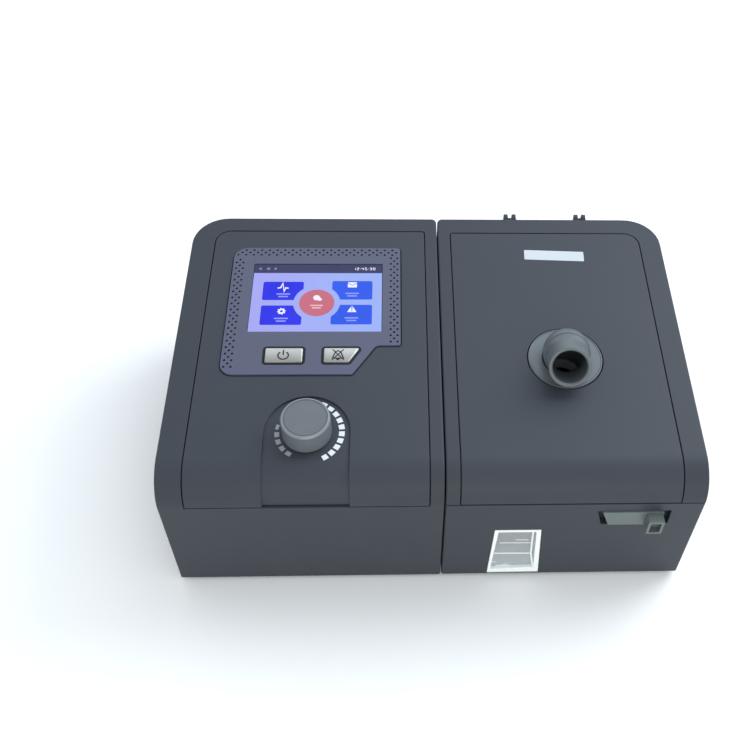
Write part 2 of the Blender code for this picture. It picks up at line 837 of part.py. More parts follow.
def main_housing(finish, frame):
    housing = case_block("main_housing", MAIN_LEFT, MAIN_RIGHT, -1, 0, 0, finish, frame)
    bevel_edges(housing, EDGE_BEVEL, 2)
    hollow = case_block("main hollow", MAIN_LEFT, MAIN_RIGHT, -1, SIDE_WALL, TOP_WALL, finish, frame)
    cut(housing, hollow)
    pocket_outer = block(
        "filter pocket",
        (MAIN_LEFT + SIDE_WALL / 2, FILTER_FRONT - POCKET_WALL, FILTER_LOW - POCKET_WALL),
        (
            MAIN_LEFT + POCKET_DEPTH,
            FILTER_FRONT + FILTER_LENGTH + POCKET_WALL,
            FILTER_LOW + FILTER_HEIGHT + POCKET_WALL,
        ),
        finish,
        frame,
    )
    fuse(housing, pocket_outer)
    work = bmesh.new()
    for centre in MAIN_SCREWS:
        add_turned(work, boss_profile(*centre), SMALL_SEGMENTS, centre)
    fuse(housing, solid("housing bosses", work, finish, frame))
    pocket_hollow = block(
        "filter pocket hollow",
        (MAIN_LEFT - OVERRUN, FILTER_FRONT, FILTER_LOW),
        (
            MAIN_LEFT + POCKET_DEPTH - POCKET_WALL,
            FILTER_FRONT + FILTER_LENGTH,
            FILTER_LOW + FILTER_HEIGHT,
        ),
        finish,
        frame,
    )
    cut(housing, pocket_hollow)
    pocket_window = block(
        "filter pocket window",
        (MAIN_LEFT, FILTER_FRONT + POCKET_LEDGE, FILTER_LOW + POCKET_LEDGE),
        (
            MAIN_LEFT + POCKET_DEPTH + OVERRUN,
            FILTER_FRONT + FILTER_LENGTH - POCKET_LEDGE,
            FILTER_LOW + FILTER_HEIGHT - POCKET_LEDGE,
        ),
        finish,
        frame,
    )
    cut(housing, pocket_window)
    panel_pocket = panel_sheet(
        "control panel pocket",
        main_panel_left() - PANEL_GROOVE,
        main_panel_right() + PANEL_GROOVE,
        main_panel_rear() + PANEL_GROOVE,
        MAIN_PANEL_LOW - PANEL_GROOVE,
        -OVERRUN,
        POCKET_SINK,
        PANEL_CORNER + PANEL_GROOVE,
        finish,
        frame,
    )
    cut(housing, panel_pocket)
    opening = block(
        "control panel opening",
        (main_panel_left() + LEDGE, LEDGE_FRONT, SPLIT_HEIGHT),
        (main_panel_right() - LEDGE, main_panel_rear() - LEDGE, REAR_HEIGHT + OVERRUN),
        finish,
        frame,
    )
    cut(housing, opening)
    below = block(
        "below the housing",
        (MAIN_LEFT - OVERRUN, -OVERRUN, -OVERRUN * 4),
        (MAIN_RIGHT + OVERRUN, DEPTH + OVERRUN, 0),
        finish,
        frame,
    )
    cut(housing, below)
    port = turned(
        "housing port",
        cylinder_profile(port_outer() + GAP, -OVERRUN * 2, OVERRUN),
        finish,
        frame,
        (PORT_Y, PORT_HEIGHT),
        "X",
    )
    cut(housing, port)
    dock_slots = dock_boxes("dock slots", -OVERRUN * 2, OVERRUN, GAP, finish, frame)
    cut(housing, dock_slots)
    inlet_hole = turned(
        "inlet hole",
        cylinder_profile(INLET_COLLAR + GAP, DEPTH - OVERRUN, DEPTH + OVERRUN),
        finish,
        frame,
        (INLET_X, inlet_centre()),
        "Y",
        SMALL_SEGMENTS,
    )
    cut(housing, inlet_hole)
    return housing


def boss_profile(x, y):
    """A boss with a blind screw hole, which ends half way into the ledge under the panel."""
    top = top_height(y) - (TOP_WALL + POCKET_SINK) / 2
    hole = SCREW_RADIUS + GAP
    hole_top = SCREW_HEAD_THICK + SCREW_LENGTH + GAP
    low = FLOOR + GAP
    return [(hole, low), (BOSS_RADIUS, low), (BOSS_RADIUS, top), (0, top), (0, hole_top), (hole, hole_top)]


def main_panel_left():
    return MAIN_LEFT + MAIN_PANEL_LEFT


def main_panel_right():
    return -MAIN_PANEL_RIGHT


def main_panel_rear():
    return DEPTH - MAIN_PANEL_REAR


def inlet_centre():
    return FLOOR + INLET_PEDESTAL + GAP + INLET_HEIGHT / 2


def port_outer():
    return PORT_BORE + PORT_WALL


def dock_boxes(name, low, high, clearance, finish, frame):
    work = bmesh.new()
    for front in (DOCK_TONGUE_FRONT, DOCK_TONGUE_REAR):
        outline = rectangle(
            front - clearance,
            front + DOCK_TONGUE_WIDTH + clearance,
            DOCK_TONGUE_LOW - clearance,
            DOCK_TONGUE_LOW + DOCK_TONGUE_HEIGHT + clearance,
        )
        add_prism(work, outline, "X", low, high)
    return solid(name, work, finish, frame)


def control_panel(finish, case, top):
    panel = panel_sheet(
        "control_panel",
        main_panel_left(),
        main_panel_right(),
        main_panel_rear(),
        MAIN_PANEL_LOW,
        0,
        PANEL_THICK,
        PANEL_CORNER,
        finish,
        case,
    )
    posts = cylinders(
        "panel posts", board_posts(), POST_RADIUS, BOARD_TOP + GAP, -PANEL_THICK / 2, finish, top
    )
    fuse(panel, posts)
    keyhole = prism(
        "knob recess",
        rounded([
            (KNOB_X - RECESS_RADIUS, -OVERRUN * 2, 0),
            (KNOB_X + RECESS_RADIUS, -OVERRUN * 2, 0),
            (KNOB_X + RECESS_RADIUS, KNOB_Y + RECESS_RADIUS, RECESS_RADIUS - GAP),
            (KNOB_X - RECESS_RADIUS, KNOB_Y + RECESS_RADIUS, RECESS_RADIUS - GAP),
        ]),
        "Z",
        0,
        REAR_HEIGHT,
        finish,
        case,
    )
    under = prism(
        "under the recess",
        rounded([
            (DEPTH, -OVERRUN, 0),
            (RECESS_DEPTH, -OVERRUN, 0),
            side_corner(RECESS_DEPTH, RECESS_DEPTH),
            (DEPTH, top_height(DEPTH) - RECESS_DEPTH / math.cos(TOP_SLOPE), 0),
        ]),
        "X",
        MAIN_LEFT,
        0,
        finish,
        case,
    )
    cut(keyhole, under)
    cut(panel, keyhole)
    cut(panel, prism("bezel pocket", bezel_outline(GAP), "Z", BEZEL_LOW - GAP, OVERRUN, finish, top))
    cut(panel, prism("screen opening", lcd_outline(GAP), "Z", -OVERRUN, OVERRUN, finish, top))
    cut(panel, button_tools("panel button holes", -OVERRUN, OVERRUN, GAP, finish, top))
    encoder_hole = turned(
        "encoder hole",
        cylinder_profile(rotor_outer() + GAP, -OVERRUN, OVERRUN),
        finish,
        top,
        (KNOB_X, KNOB_Y),
        segments=SMALL_SEGMENTS,
    )
    cut(panel, encoder_hole)
    screw_holes = cylinders(
        "panel screw holes",
        board_posts(),
        BOARD_SCREW_RADIUS + GAP,
        BOARD_TOP - OVERRUN,
        BOARD_LOW + BOARD_SCREW_LENGTH + GAP,
        finish,
        top,
    )
    cut(panel, screw_holes)
    return panel


def board_posts():
    return [
        (x, y)
        for y in (POST_FRONT, POST_REAR)
        for x in (board_left() + POST_SIDE, board_right() - POST_SIDE)
    ]


def board_left():
    return main_panel_left() + BOARD_MARGIN


def board_right():
    return main_panel_right() - BOARD_MARGIN


def rotor_outer():
    return SHAFT_RADIUS + GAP + ROTOR_WALL


def bezel_outline(clearance):
    left = SCREEN_LEFT - BEZEL_MARGIN_LEFT - clearance
    right = SCREEN_LEFT + SCREEN_WIDTH + BEZEL_MARGIN_RIGHT + clearance
    rear = SCREEN_FRONT + SCREEN_DEPTH + BEZEL_MARGIN_REAR + clearance
    step = SCREEN_FRONT - BEZEL_STEP - clearance
    front = SCREEN_FRONT - BEZEL_FRONT - clearance
    chamfer_top = SCREEN_LEFT + SCREEN_WIDTH - BEZEL_CHAMFER_TOP + clearance
    chamfer_bottom = SCREEN_LEFT + SCREEN_WIDTH - BEZEL_CHAMFER_BOTTOM + clearance
    return rounded([
        (left, front, BEZEL_CORNER),
        (chamfer_bottom, front, BEZEL_SMALL_CORNER),
        (chamfer_top, step, BEZEL_SMALL_CORNER),
        (right, step, BEZEL_SMALL_CORNER),
        (right, rear, BEZEL_SMALL_CORNER),
        (left, rear, BEZEL_CORNER),
    ])


def lcd_outline(clearance):
    return rectangle(
        SCREEN_LEFT - LCD_SIDE - clearance,
        SCREEN_LEFT + SCREEN_WIDTH + LCD_SIDE + clearance,
        SCREEN_FRONT - LCD_FRONT - clearance,
        SCREEN_FRONT + SCREEN_DEPTH + LCD_SIDE + clearance,
    )


def power_outline(grow):
    return rectangle(
        POWER_LEFT - grow,
        POWER_LEFT + POWER_WIDTH + grow,
        BUTTON_FRONT - grow,
        BUTTON_FRONT + BUTTON_DEPTH + grow,
        BUTTON_CORNER,
    )


def silence_outline(grow):
    return rounded([
        (SILENCE_LEFT - grow, BUTTON_FRONT - grow, BUTTON_CORNER),
        (SILENCE_LEFT + SILENCE_WIDTH - SILENCE_SLANT + grow, BUTTON_FRONT - grow, BUTTON_CORNER),
        (SILENCE_LEFT + SILENCE_WIDTH + grow, BUTTON_FRONT + BUTTON_DEPTH + grow, BUTTON_CORNER),
        (SILENCE_LEFT - grow, BUTTON_FRONT + BUTTON_DEPTH + grow, BUTTON_CORNER),
    ])


def button_tools(name, low, high, grow, finish, frame):
    work = bmesh.new()
    for outline in (power_outline(grow), silence_outline(grow)):
        add_prism(work, outline, "Z", low, high)
    return solid(name, work, finish, frame)


def screen_bezel(finish, top):
    bezel = prism("screen_bezel", bezel_outline(0), "Z", BEZEL_LOW, BEZEL_PROUD, finish, top)
    window = prism(
        "bezel window",
        rectangle(
            SCREEN_LEFT, SCREEN_LEFT + SCREEN_WIDTH, SCREEN_FRONT, SCREEN_FRONT + SCREEN_DEPTH
        ),
        "Z",
        -OVERRUN,
        OVERRUN,
        finish,
        top,
    )
    cut(bezel, window)
    cut(bezel, button_tools("bezel button holes", -OVERRUN, OVERRUN, GAP, finish, top))
    return bezel


def display_stack(finishes, top):
    prism("display_glass", lcd_outline(0), "Z", GLASS_TOP - GLASS_THICK, GLASS_TOP, finishes["glass"], top)
    prism("lcd_module", lcd_outline(0), "Z", LCD_LOW, LCD_TOP, finishes["screen"], top)
    bracket = prism(
        "display_bracket", lcd_outline(0), "Z", BOARD_TOP + GAP, LCD_LOW - GAP, finishes["black"], top
    )
    hole = prism(
        "bracket hole", lcd_outline(-BRACKET_RIM), "Z", BOARD_LOW, LCD_TOP, finishes["black"], top
    )
    cut(bracket, hole)


def front_board(finish, top):
    board = prism(
        "front_board",
        rectangle(board_left(), board_right(), BOARD_FRONT, DEPTH - BOARD_REAR_MARGIN),
        "Z",
        BOARD_LOW,
        BOARD_TOP,
        finish,
        top,
    )
    holes = cylinders(
        "board screw holes",
        board_posts(),
        BOARD_SCREW_RADIUS + GAP,
        BOARD_LOW - OVERRUN,
        BOARD_TOP + OVERRUN,
        finish,
        top,
    )
    return cut(board, holes)


def board_screws(finish, top):
    head_low = BOARD_LOW - GAP - BOARD_SCREW_HEAD_THICK
    for number, centre in enumerate(board_posts(), 1):
        turned(
            f"board_screw_{number}",
            [
                (0, head_low),
                (BOARD_SCREW_HEAD, head_low),
                (BOARD_SCREW_HEAD, BOARD_LOW - GAP),
                (BOARD_SCREW_RADIUS, BOARD_LOW - GAP),
                (BOARD_SCREW_RADIUS, BOARD_LOW + BOARD_SCREW_LENGTH),
                (0, BOARD_LOW + BOARD_SCREW_LENGTH),
            ],
            finish,
            top,
            centre,
            segments=SMALL_SEGMENTS,
        )


# Buttons and knob

def push_button(name, outline, centre, finish, top):
    """A keycap on its own slide axis, with a flange that holds it under the panel."""
    axis = frame_empty(name + " slide", top, (*centre, 0))
    cap = ride(
        prism(
            name, outline(0), "Z", -PANEL_THICK - GAP - BUTTON_FLANGE_THICK / 2,
            BEZEL_PROUD + BUTTON_PROUD, finish, top,
        ),
        axis,
    )
    flange = ride(
        prism(
            name + " flange", outline(BUTTON_FLANGE), "Z",
            button_low(), -PANEL_THICK - GAP, finish, top,
        ),
        axis,
    )
    return fuse(cap, flange)


def button_low():
    return -PANEL_THICK - GAP - BUTTON_FLANGE_THICK


def buttons(finishes, top):
    row = BUTTON_FRONT + BUTTON_DEPTH / 2
    power_x = POWER_LEFT + POWER_WIDTH / 2
    silence_x = SILENCE_LEFT + (SILENCE_WIDTH - SILENCE_SLANT / 2) / 2
    push_button("power_button", power_outline, (power_x, row), finishes["silver"], top)
    push_button("silence_button", silence_outline, (silence_x, row), finishes["silver"], top)
    for name, x in (("power_switch", power_x), ("silence_switch", silence_x)):
        block(
            name,
            (x - SWITCH_SIDE / 2, row - SWITCH_SIDE / 2, BOARD_TOP + GAP),
            (x + SWITCH_SIDE / 2, row + SWITCH_SIDE / 2, button_low() - BUTTON_TRAVEL - GAP),
            finishes["black"],
            top,
        )


def knob_parts(finishes, top):
    centre = (KNOB_X, KNOB_Y)
    axis = frame_empty("knob axis", top, (*centre, 0))
    body = prism(
        "encoder_body",
        rectangle(
            KNOB_X - ENCODER_SIDE / 2,
            KNOB_X + ENCODER_SIDE / 2,
            KNOB_Y - ENCODER_SIDE / 2,
            KNOB_Y + ENCODER_SIDE / 2,
        ),
        "Z",
        BOARD_TOP + GAP,
        BOARD_TOP + GAP + ENCODER_HEIGHT,
        finishes["steel"],
        top,
    )
    bore = turned(
        "encoder bore",
        cylinder_profile(rotor_outer() + GAP, BOARD_TOP + KNOB_TRAVEL, 0),
        finishes["steel"],
        top,
        centre,
        segments=SMALL_SEGMENTS,
    )
    cut(body, bore)
    rotor_low = BOARD_TOP + KNOB_TRAVEL + GAP
    ride(
        turned(
            "encoder_rotor",
            ring_profile(SHAFT_RADIUS + GAP, rotor_outer(), rotor_low, -RECESS_DEPTH - GAP),
            finishes["brass"],
            top,
            centre,
            segments=SMALL_SEGMENTS,
        ),
        axis,
    )
    shaft_low = rotor_low + KNOB_TRAVEL
    cap_top = KNOB_LOW + KNOB_HEIGHT
    shaft_top = cap_top - KNOB_TOP_WALL - GAP
    ride(
        turned(
            "encoder_shaft",
            cylinder_profile(SHAFT_RADIUS, shaft_low, shaft_top),
            finishes["steel"],
            top,
            centre,
            segments=SMALL_SEGMENTS,
        ),
        axis,
    )
    narrow = KNOB_RADIUS - KNOB_TAPER
    ride(
        turned(
            "knob_cap",
            [
                (0, cap_top - KNOB_DISH),
                (KNOB_DISH_RADIUS, cap_top - KNOB_DISH),
                (KNOB_DISH_RADIUS + KNOB_DISH, cap_top),
                (narrow - KNOB_CHAMFER, cap_top),
                (narrow, cap_top - KNOB_CHAMFER),
                (KNOB_RADIUS, KNOB_LOW),
                (KNOB_RADIUS - KNOB_WALL, KNOB_LOW),
                (narrow - KNOB_WALL, cap_top - KNOB_TOP_WALL),
                (KNOB_BOSS, cap_top - KNOB_TOP_WALL),
                (KNOB_BOSS, KNOB_LOW),
                (SHAFT_RADIUS + GAP, KNOB_LOW),
                (SHAFT_RADIUS + GAP, cap_top - KNOB_TOP_WALL),
                (0, cap_top - KNOB_TOP_WALL),
            ],
            finishes["knob"],
            top,
            centre,
            segments=FINE_SEGMENTS,
        ),
        axis,
    )


# Blower

def scroll_outline(inset, end):
    """The volute's plan: a spiral that grows clockwise from its tongue to a spout along +X."""
    start = SCROLL_START - inset
    last = SCROLL_END - inset
    total = 3 * math.pi / 2 + SCROLL_TONGUE
    points = []
    for step in range(SCROLL_POINTS + 1):
        share = step / SCROLL_POINTS
        angle = SCROLL_TONGUE - total * share
        radius = start + (last - start) * share
        points.append((BLOWER_X + radius * math.cos(angle), BLOWER_Y + radius * math.sin(angle)))
    spout_low = PORT_Y - PORT_BORE - SCROLL_WALL + inset
    points.append((end, BLOWER_Y + last))
    points.append((end, spout_low))
    if inset > 0:
        points.append((BLOWER_X + start * math.cos(SCROLL_TONGUE) - inset / 2, spout_low))
    return points


def volute_half(name, low, high, hollow_low, hollow_high, hole, finish, frame):
    half = prism(name, scroll_outline(0, SPOUT_END), "Z", low, high, finish, frame)
    hollow = prism(
        name + " hollow",
        scroll_outline(SCROLL_WALL, SPOUT_END + OVERRUN),
        "Z",
        hollow_low,
        hollow_high,
        finish,
        frame,
    )
    cut(half, hollow)
    eye = turned(
        name + " eye",
        cylinder_profile(hole, low - OVERRUN, high + OVERRUN),
        finish,
        frame,
        (BLOWER_X, BLOWER_Y),
    )
    return cut(half, eye)


def blower(finishes, frame):
    centre = (BLOWER_X, BLOWER_Y)
    middle = PORT_HEIGHT
    volute_half(
        "volute_lower", SCROLL_LOW, middle - GAP / 2, SCROLL_LOW + SCROLL_WALL, middle + OVERRUN,
        SHAFT_HOLE, finishes["volute"], frame,
    )
    volute_half(
        "volute_upper", middle + GAP / 2, SCROLL_TOP, middle - OVERRUN, SCROLL_TOP - SCROLL_WALL,
        INLET_EYE, finishes["volute"], frame,
    )
    turned(
        "motor_body",
        [
            (0, MOTOR_LOW),
            (MOTOR_RADIUS, MOTOR_LOW),
            (MOTOR_RADIUS, MOTOR_TOP),
            (MOTOR_SHAFT_RADIUS + GAP, MOTOR_TOP),
            (MOTOR_SHAFT_RADIUS + GAP, MOTOR_TOP - MOTOR_SHAFT_SINK - GAP),
            (0, MOTOR_TOP - MOTOR_SHAFT_SINK - GAP),
        ],
        finishes["steel"],
        frame,
        centre,
    )
    turned(
        "blower_mount",
        ring_profile(mount_outer() - MOUNT_WALL, mount_outer(), FLOOR + GAP, FLOOR + GAP + MOUNT_HEIGHT),
        finishes["rubber"],
        frame,
        centre,
    )
    axis = frame_empty("impeller axis", frame, (*centre, middle))
    hub_low = SCROLL_LOW + SCROLL_WALL + IMPELLER_CLEARANCE
    hub_top = SCROLL_TOP - SCROLL_WALL - IMPELLER_CLEARANCE
    ride(
        turned(
            "motor_shaft",
            cylinder_profile(MOTOR_SHAFT_RADIUS, MOTOR_TOP - MOTOR_SHAFT_SINK, hub_top),
            finishes["steel"],
            frame,
            centre,
            segments=SMALL_SEGMENTS,
        ),
        axis,
    )
    impeller = ride(
        turned(
            "impeller",
            [
                (MOTOR_SHAFT_RADIUS + GAP, hub_low),
                (IMPELLER_RADIUS, hub_low),
                (IMPELLER_RADIUS, hub_low + IMPELLER_PLATE),
                (IMPELLER_HUB, hub_low + IMPELLER_PLATE),
                (IMPELLER_HUB, hub_top),
                (MOTOR_SHAFT_RADIUS + GAP, hub_top),
            ],
            finishes["white"],
            frame,
            centre,
        ),
        axis,
    )
    blades = ride(impeller_blades(hub_low, hub_top, centre, finishes["white"], frame), axis)
    fuse(impeller, blades)
    turned(
        "blower_duct",
        ring_profile(PORT_BORE, port_outer(), SPOUT_END + GAP, port_seal_left() - GAP),
        finishes["rubber"],
        frame,
        (PORT_Y, PORT_HEIGHT),
        "X",
    )


def impeller_blades(low, high, centre, finish, frame):
    work = bmesh.new()
    inner = BLADE_INNER
    outer = IMPELLER_RADIUS - BLADE_THICK / 2
    for number in range(BLADE_COUNT):
        base_angle = 2 * math.pi * number / BLADE_COUNT
        edges = {1: [], -1: []}
        for step in range(BLADE_STEPS + 1):
            share = step / BLADE_STEPS
            radius = inner + (outer - inner) * share
            angle = base_angle + BLADE_SWEEP * share
            half_angle = BLADE_THICK / 2 / radius
            for side in edges:
                edges[side].append((
                    centre[0] + radius * math.cos(angle + side * half_angle),
                    centre[1] + radius * math.sin(angle + side * half_angle),
                ))
        add_prism(work, edges[1] + edges[-1][::-1], "Z", low + IMPELLER_PLATE / 2, high - IMPELLER_PLATE)
    return solid("impeller blades", work, finish, frame)


def port_seal_left():
    return MAIN_RIGHT - SIDE_WALL - GAP


def port_seal(finish, frame):
    turned(
        "port_seal",
        ring_profile(PORT_BORE, port_outer(), port_seal_left(), TUB_LEFT - GAP),
        finish,
        frame,
        (PORT_Y, PORT_HEIGHT),
        "X",
    )


# Electronics in the main unit

def main_board(finish, frame):
    top = MAIN_BOARD_LOW + BOARD_THICK
    board = block(
        "main_board",
        (MAIN_BOARD_LEFT, MAIN_BOARD_FRONT, MAIN_BOARD_LOW),
        (MAIN_BOARD_RIGHT, MAIN_BOARD_FRONT + MAIN_BOARD_DEPTH, top),
        finish,
        frame,
    )
    middle = (MAIN_BOARD_LEFT + MAIN_BOARD_RIGHT) / 2
    row = MAIN_BOARD_FRONT + MAIN_BOARD_DEPTH / 2
    sink = block(
        "heat sink",
        (middle - SINK_WIDTH / 2, row - SINK_DEPTH / 2, top - BOARD_THICK / 2),
        (middle + SINK_WIDTH / 2, row + SINK_DEPTH / 2, top + SINK_HEIGHT),
        finish,
        frame,
    )
    fuse(board, sink)
    capacitors = cylinders(
        "capacitors",
        [(middle + side * (SINK_WIDTH / 2 + CAPACITOR_RADIUS * 2), row) for side in (-1, 1)],
        CAPACITOR_RADIUS,
        top - BOARD_THICK / 2,
        top + CAPACITOR_HEIGHT,
        finish,
        frame,
    )
    fuse(board, capacitors)
    work = bmesh.new()
    for edge in (MAIN_BOARD_LEFT + CONNECTOR_WIDTH, MAIN_BOARD_RIGHT - CONNECTOR_WIDTH):
        outline = rectangle(
            edge - CONNECTOR_WIDTH / 2,
            edge + CONNECTOR_WIDTH / 2,
            row - CONNECTOR_DEPTH / 2,
            row + CONNECTOR_DEPTH / 2,
        )
        add_prism(work, outline, "Z", top - BOARD_THICK / 2, top + CONNECTOR_HEIGHT)
    return fuse(board, solid("connectors", work, finish, frame))


def power_inlet(finish, frame):
    low = FLOOR + INLET_PEDESTAL + GAP
    body = block(
        "power_inlet",
        (INLET_X - INLET_WIDTH / 2, inlet_rear() - INLET_LENGTH, low),
        (INLET_X + INLET_WIDTH / 2, inlet_rear(), low + INLET_HEIGHT),
        finish,
        frame,
    )
    collar = turned(
        "inlet collar",
        cylinder_profile(INLET_COLLAR, inlet_rear() - INLET_COLLAR, DEPTH - INLET_COLLAR_SHORT),
        finish,
        frame,
        (INLET_X, inlet_centre()),
        "Y",
        SMALL_SEGMENTS,
    )
    fuse(body, collar)
    bore = turned(
        "inlet bore",
        cylinder_profile(INLET_BORE, DEPTH - INLET_BORE_DEPTH, DEPTH + OVERRUN),
        finish,
        frame,
        (INLET_X, inlet_centre()),
        "Y",
        SMALL_SEGMENTS,
    )
    return cut(body, bore)


def filter_parts(finishes, frame):
    inner = MAIN_LEFT + POCKET_DEPTH - POCKET_WALL - GAP
    block(
        "inlet_filter",
        (inner - FILTER_THICK, FILTER_FRONT + GAP, FILTER_LOW + GAP),
        (inner, FILTER_FRONT + FILTER_LENGTH - GAP, FILTER_LOW + FILTER_HEIGHT - GAP),
        finishes["foam"],
        frame,
    )
    axis = frame_empty("filter cover slide", frame, (MAIN_LEFT, FILTER_FRONT, FILTER_LOW))
    wall = MAIN_LEFT - GAP
    outer = MAIN_LEFT - COVER_PROUD
    front = FILTER_FRONT - COVER_MARGIN
    rear = FILTER_FRONT + FILTER_LENGTH + COVER_MARGIN
    low = FILTER_LOW - COVER_MARGIN / 2
    high = FILTER_LOW + FILTER_HEIGHT + COVER_MARGIN / 2
    cover = ride(
        prism(
            "filter_cover",
            [
                (wall, front),
                (wall, rear),
                (outer, rear),
                (outer, front + COVER_NOSE),
                (wall - COVER_NOSE_THIN, front),
            ],
            "Z",
            low,
            high,
            finishes["dark"],
            frame,
        ),
        axis,
    )
    plug = ride(
        block(
            "cover plug",
            (outer + COVER_PROUD / 2, FILTER_FRONT + GAP, FILTER_LOW + GAP),
            (
                MAIN_LEFT + COVER_PLUG,
                FILTER_FRONT + FILTER_LENGTH - GAP,
                FILTER_LOW + FILTER_HEIGHT - GAP,
            ),
            finishes["dark"],
            frame,
        ),
        axis,
    )
    fuse(cover, plug)
    work = bmesh.new()
    slot_low = FILTER_LOW + COVER_SLOT_MARGIN / 2
    slot_high = FILTER_LOW + FILTER_HEIGHT - COVER_SLOT_MARGIN / 2
    run = FILTER_LENGTH - 2 * COVER_SLOT_MARGIN
    for number in range(COVER_SLOTS):
        y = FILTER_FRONT + COVER_SLOT_MARGIN + run * number / (COVER_SLOTS - 1)
        outline = rectangle(y - COVER_SLOT_WIDTH / 2, y + COVER_SLOT_WIDTH / 2, slot_low, slot_high)
        add_prism(work, outline, "X", outer - OVERRUN, MAIN_LEFT + COVER_PLUG + OVERRUN)
    slots = ride(solid("cover slots", work, finishes["dark"], frame), axis)
    cut(cover, slots)


# Feet and screws

def feet(name, places, finish, frame):
    for number, centre in enumerate(places, 1):
        turned(
            f"{name}_{number}",
            [
                (0, -FOOT_HEIGHT),
                (FOOT_RADIUS - FOOT_SINK, -FOOT_HEIGHT),
                (FOOT_RADIUS, -FOOT_HEIGHT + FOOT_SINK),
                (FOOT_RADIUS, FOOT_SINK - GAP),
                (0, FOOT_SINK - GAP),
            ],
            finish,
            frame,
            centre,
            segments=SMALL_SEGMENTS,
        )


def base_screws(finish, frame):
    for number, centre in enumerate(MAIN_SCREWS, 1):
        turned(
            f"base_screw_{number}",
            [
                (0, 0),
                (SCREW_HEAD, 0),
                (SCREW_HEAD, SCREW_HEAD_THICK),
                (SCREW_RADIUS, SCREW_HEAD_THICK),
                (SCREW_RADIUS, SCREW_HEAD_THICK + SCREW_LENGTH),
                (0, SCREW_HEAD_THICK + SCREW_LENGTH),
            ],
            finish,
            frame,
            centre,
            segments=SMALL_SEGMENTS,
        )


# Humidifier

def window_outline(inset):
    left = WINDOW_LEFT + inset
    right = WINDOW_LEFT + WINDOW_WIDTH - inset
    return [
        (left, WINDOW_LOW + inset),
        (right, WINDOW_LOW + inset),
        (right - WINDOW_TAPER_RIGHT, WINDOW_LOW + WINDOW_HEIGHT - inset),
        (left + WINDOW_TAPER_LEFT, WINDOW_LOW + WINDOW_HEIGHT - inset),
    ]


def humidifier_base(finish, frame):
    base = case_block("humidifier_base", HUMID_LEFT, HUMID_RIGHT, 1, 0, 0, finish, frame)
    hollow = case_block("humidifier hollow", HUMID_LEFT, HUMID_RIGHT, 1, SIDE_WALL, SIDE_WALL, finish, frame)
    floor = block(
        "humidifier floor",
        (HUMID_LEFT - OVERRUN, -OVERRUN, -OVERRUN * 4),
        (HUMID_RIGHT + OVERRUN, DEPTH + OVERRUN, FLOOR),
        finish,
        frame,
    )
    cut(hollow, floor)
    cut(base, hollow)
    span = block(
        "humidifier span",
        (HUMID_LEFT - OVERRUN, -OVERRUN, 0),
        (HUMID_RIGHT + OVERRUN, DEPTH + OVERRUN, HUMID_BASE_TOP),
        finish,
        frame,
    )
    keep_inside(base, span)
    latch_boss = block(
        "latch boss",
        (LATCH_LEFT - LATCH_FRAME, SIDE_WALL / 2, LATCH_LOW - LATCH_FRAME),
        (
            LATCH_LEFT + LATCH_WIDTH + LATCH_FRAME,
            LATCH_INNER,
            LATCH_LOW + LATCH_HEIGHT + LATCH_FRAME,
        ),
        finish,
        frame,
    )
    fuse(base, latch_boss)
    for name, x in (("left", HINGE_LEFT), ("right", HINGE_RIGHT)):
        fuse(base, hinge_arm(f"hinge arm {name}", x, finish, frame))
    tongues = dock_boxes(
        "dock tongues", -DOCK_TONGUE_LENGTH, HUMID_LEFT + SIDE_WALL / 2, 0, finish, frame
    )
    fuse(base, tongues)
    recess = block(
        "latch recess",
        (LATCH_LEFT, -OVERRUN, LATCH_LOW),
        (LATCH_LEFT + LATCH_WIDTH, LATCH_DEPTH, LATCH_LOW + LATCH_HEIGHT),
        finish,
        frame,
    )
    cut(base, recess)
    slot = block(
        "latch slot",
        (NECK_LEFT - GAP, 0, BAR_LOW + NECK_LOW - GAP),
        (NECK_RIGHT + LATCH_TRAVEL + GAP, LATCH_INNER + OVERRUN, BAR_LOW + NECK_LOW + NECK_HEIGHT + GAP),
        finish,
        frame,
    )
    cut(base, slot)
    window = prism(
        "window opening", window_outline(0), "Y", -OVERRUN, SIDE_WALL + GAP, finish, frame
    )
    cut(base, window)
    port = turned(
        "humidifier port",
        cylinder_profile(port_outer() + GAP, -OVERRUN, SIDE_WALL + OVERRUN),
        finish,
        frame,
        (PORT_Y, PORT_HEIGHT),
        "X",
    )
    cut(base, port)
    cut(base, hinge_holes("arm holes", finish, frame))
    cut_base_holes(base, HUMID_FEET, finish, frame)
    return base


def hinge_arm(name, x, finish, frame):
    """An arm that leaves the rear wall below the split and stands behind the lid."""
    out = HINGE_Y + ARM_RADIUS
    inner = HINGE_Y - ARM_RADIUS
    wall = DEPTH - SIDE_WALL / 2
    outline = rounded([
        (wall, ARM_LOW, 0),
        (out, ARM_LOW + (out - wall), 0),
        (out, HINGE_HEIGHT + ARM_RADIUS, ARM_RADIUS - GAP),
        (inner, HINGE_HEIGHT + ARM_RADIUS, ARM_RADIUS - GAP),
        (inner, ARM_LEAVES, 0),
        (wall, ARM_LEAVES, 0),
    ])
    return prism(name, outline, "X", x - ARM_WIDTH / 2, x + ARM_WIDTH / 2, finish, frame)


def hinge_holes(name, finish, frame):
    reach = ARM_WIDTH / 2 + GAP + LUG_WIDTH + OVERRUN
    work = bmesh.new()
    for x in (HINGE_LEFT, HINGE_RIGHT):
        add_turned(
            work,
            cylinder_profile(PIN_RADIUS + GAP, x - reach, x + reach),
            SMALL_SEGMENTS,
            (HINGE_Y, HINGE_HEIGHT),
            "X",
        )
    return solid(name, work, finish, frame)


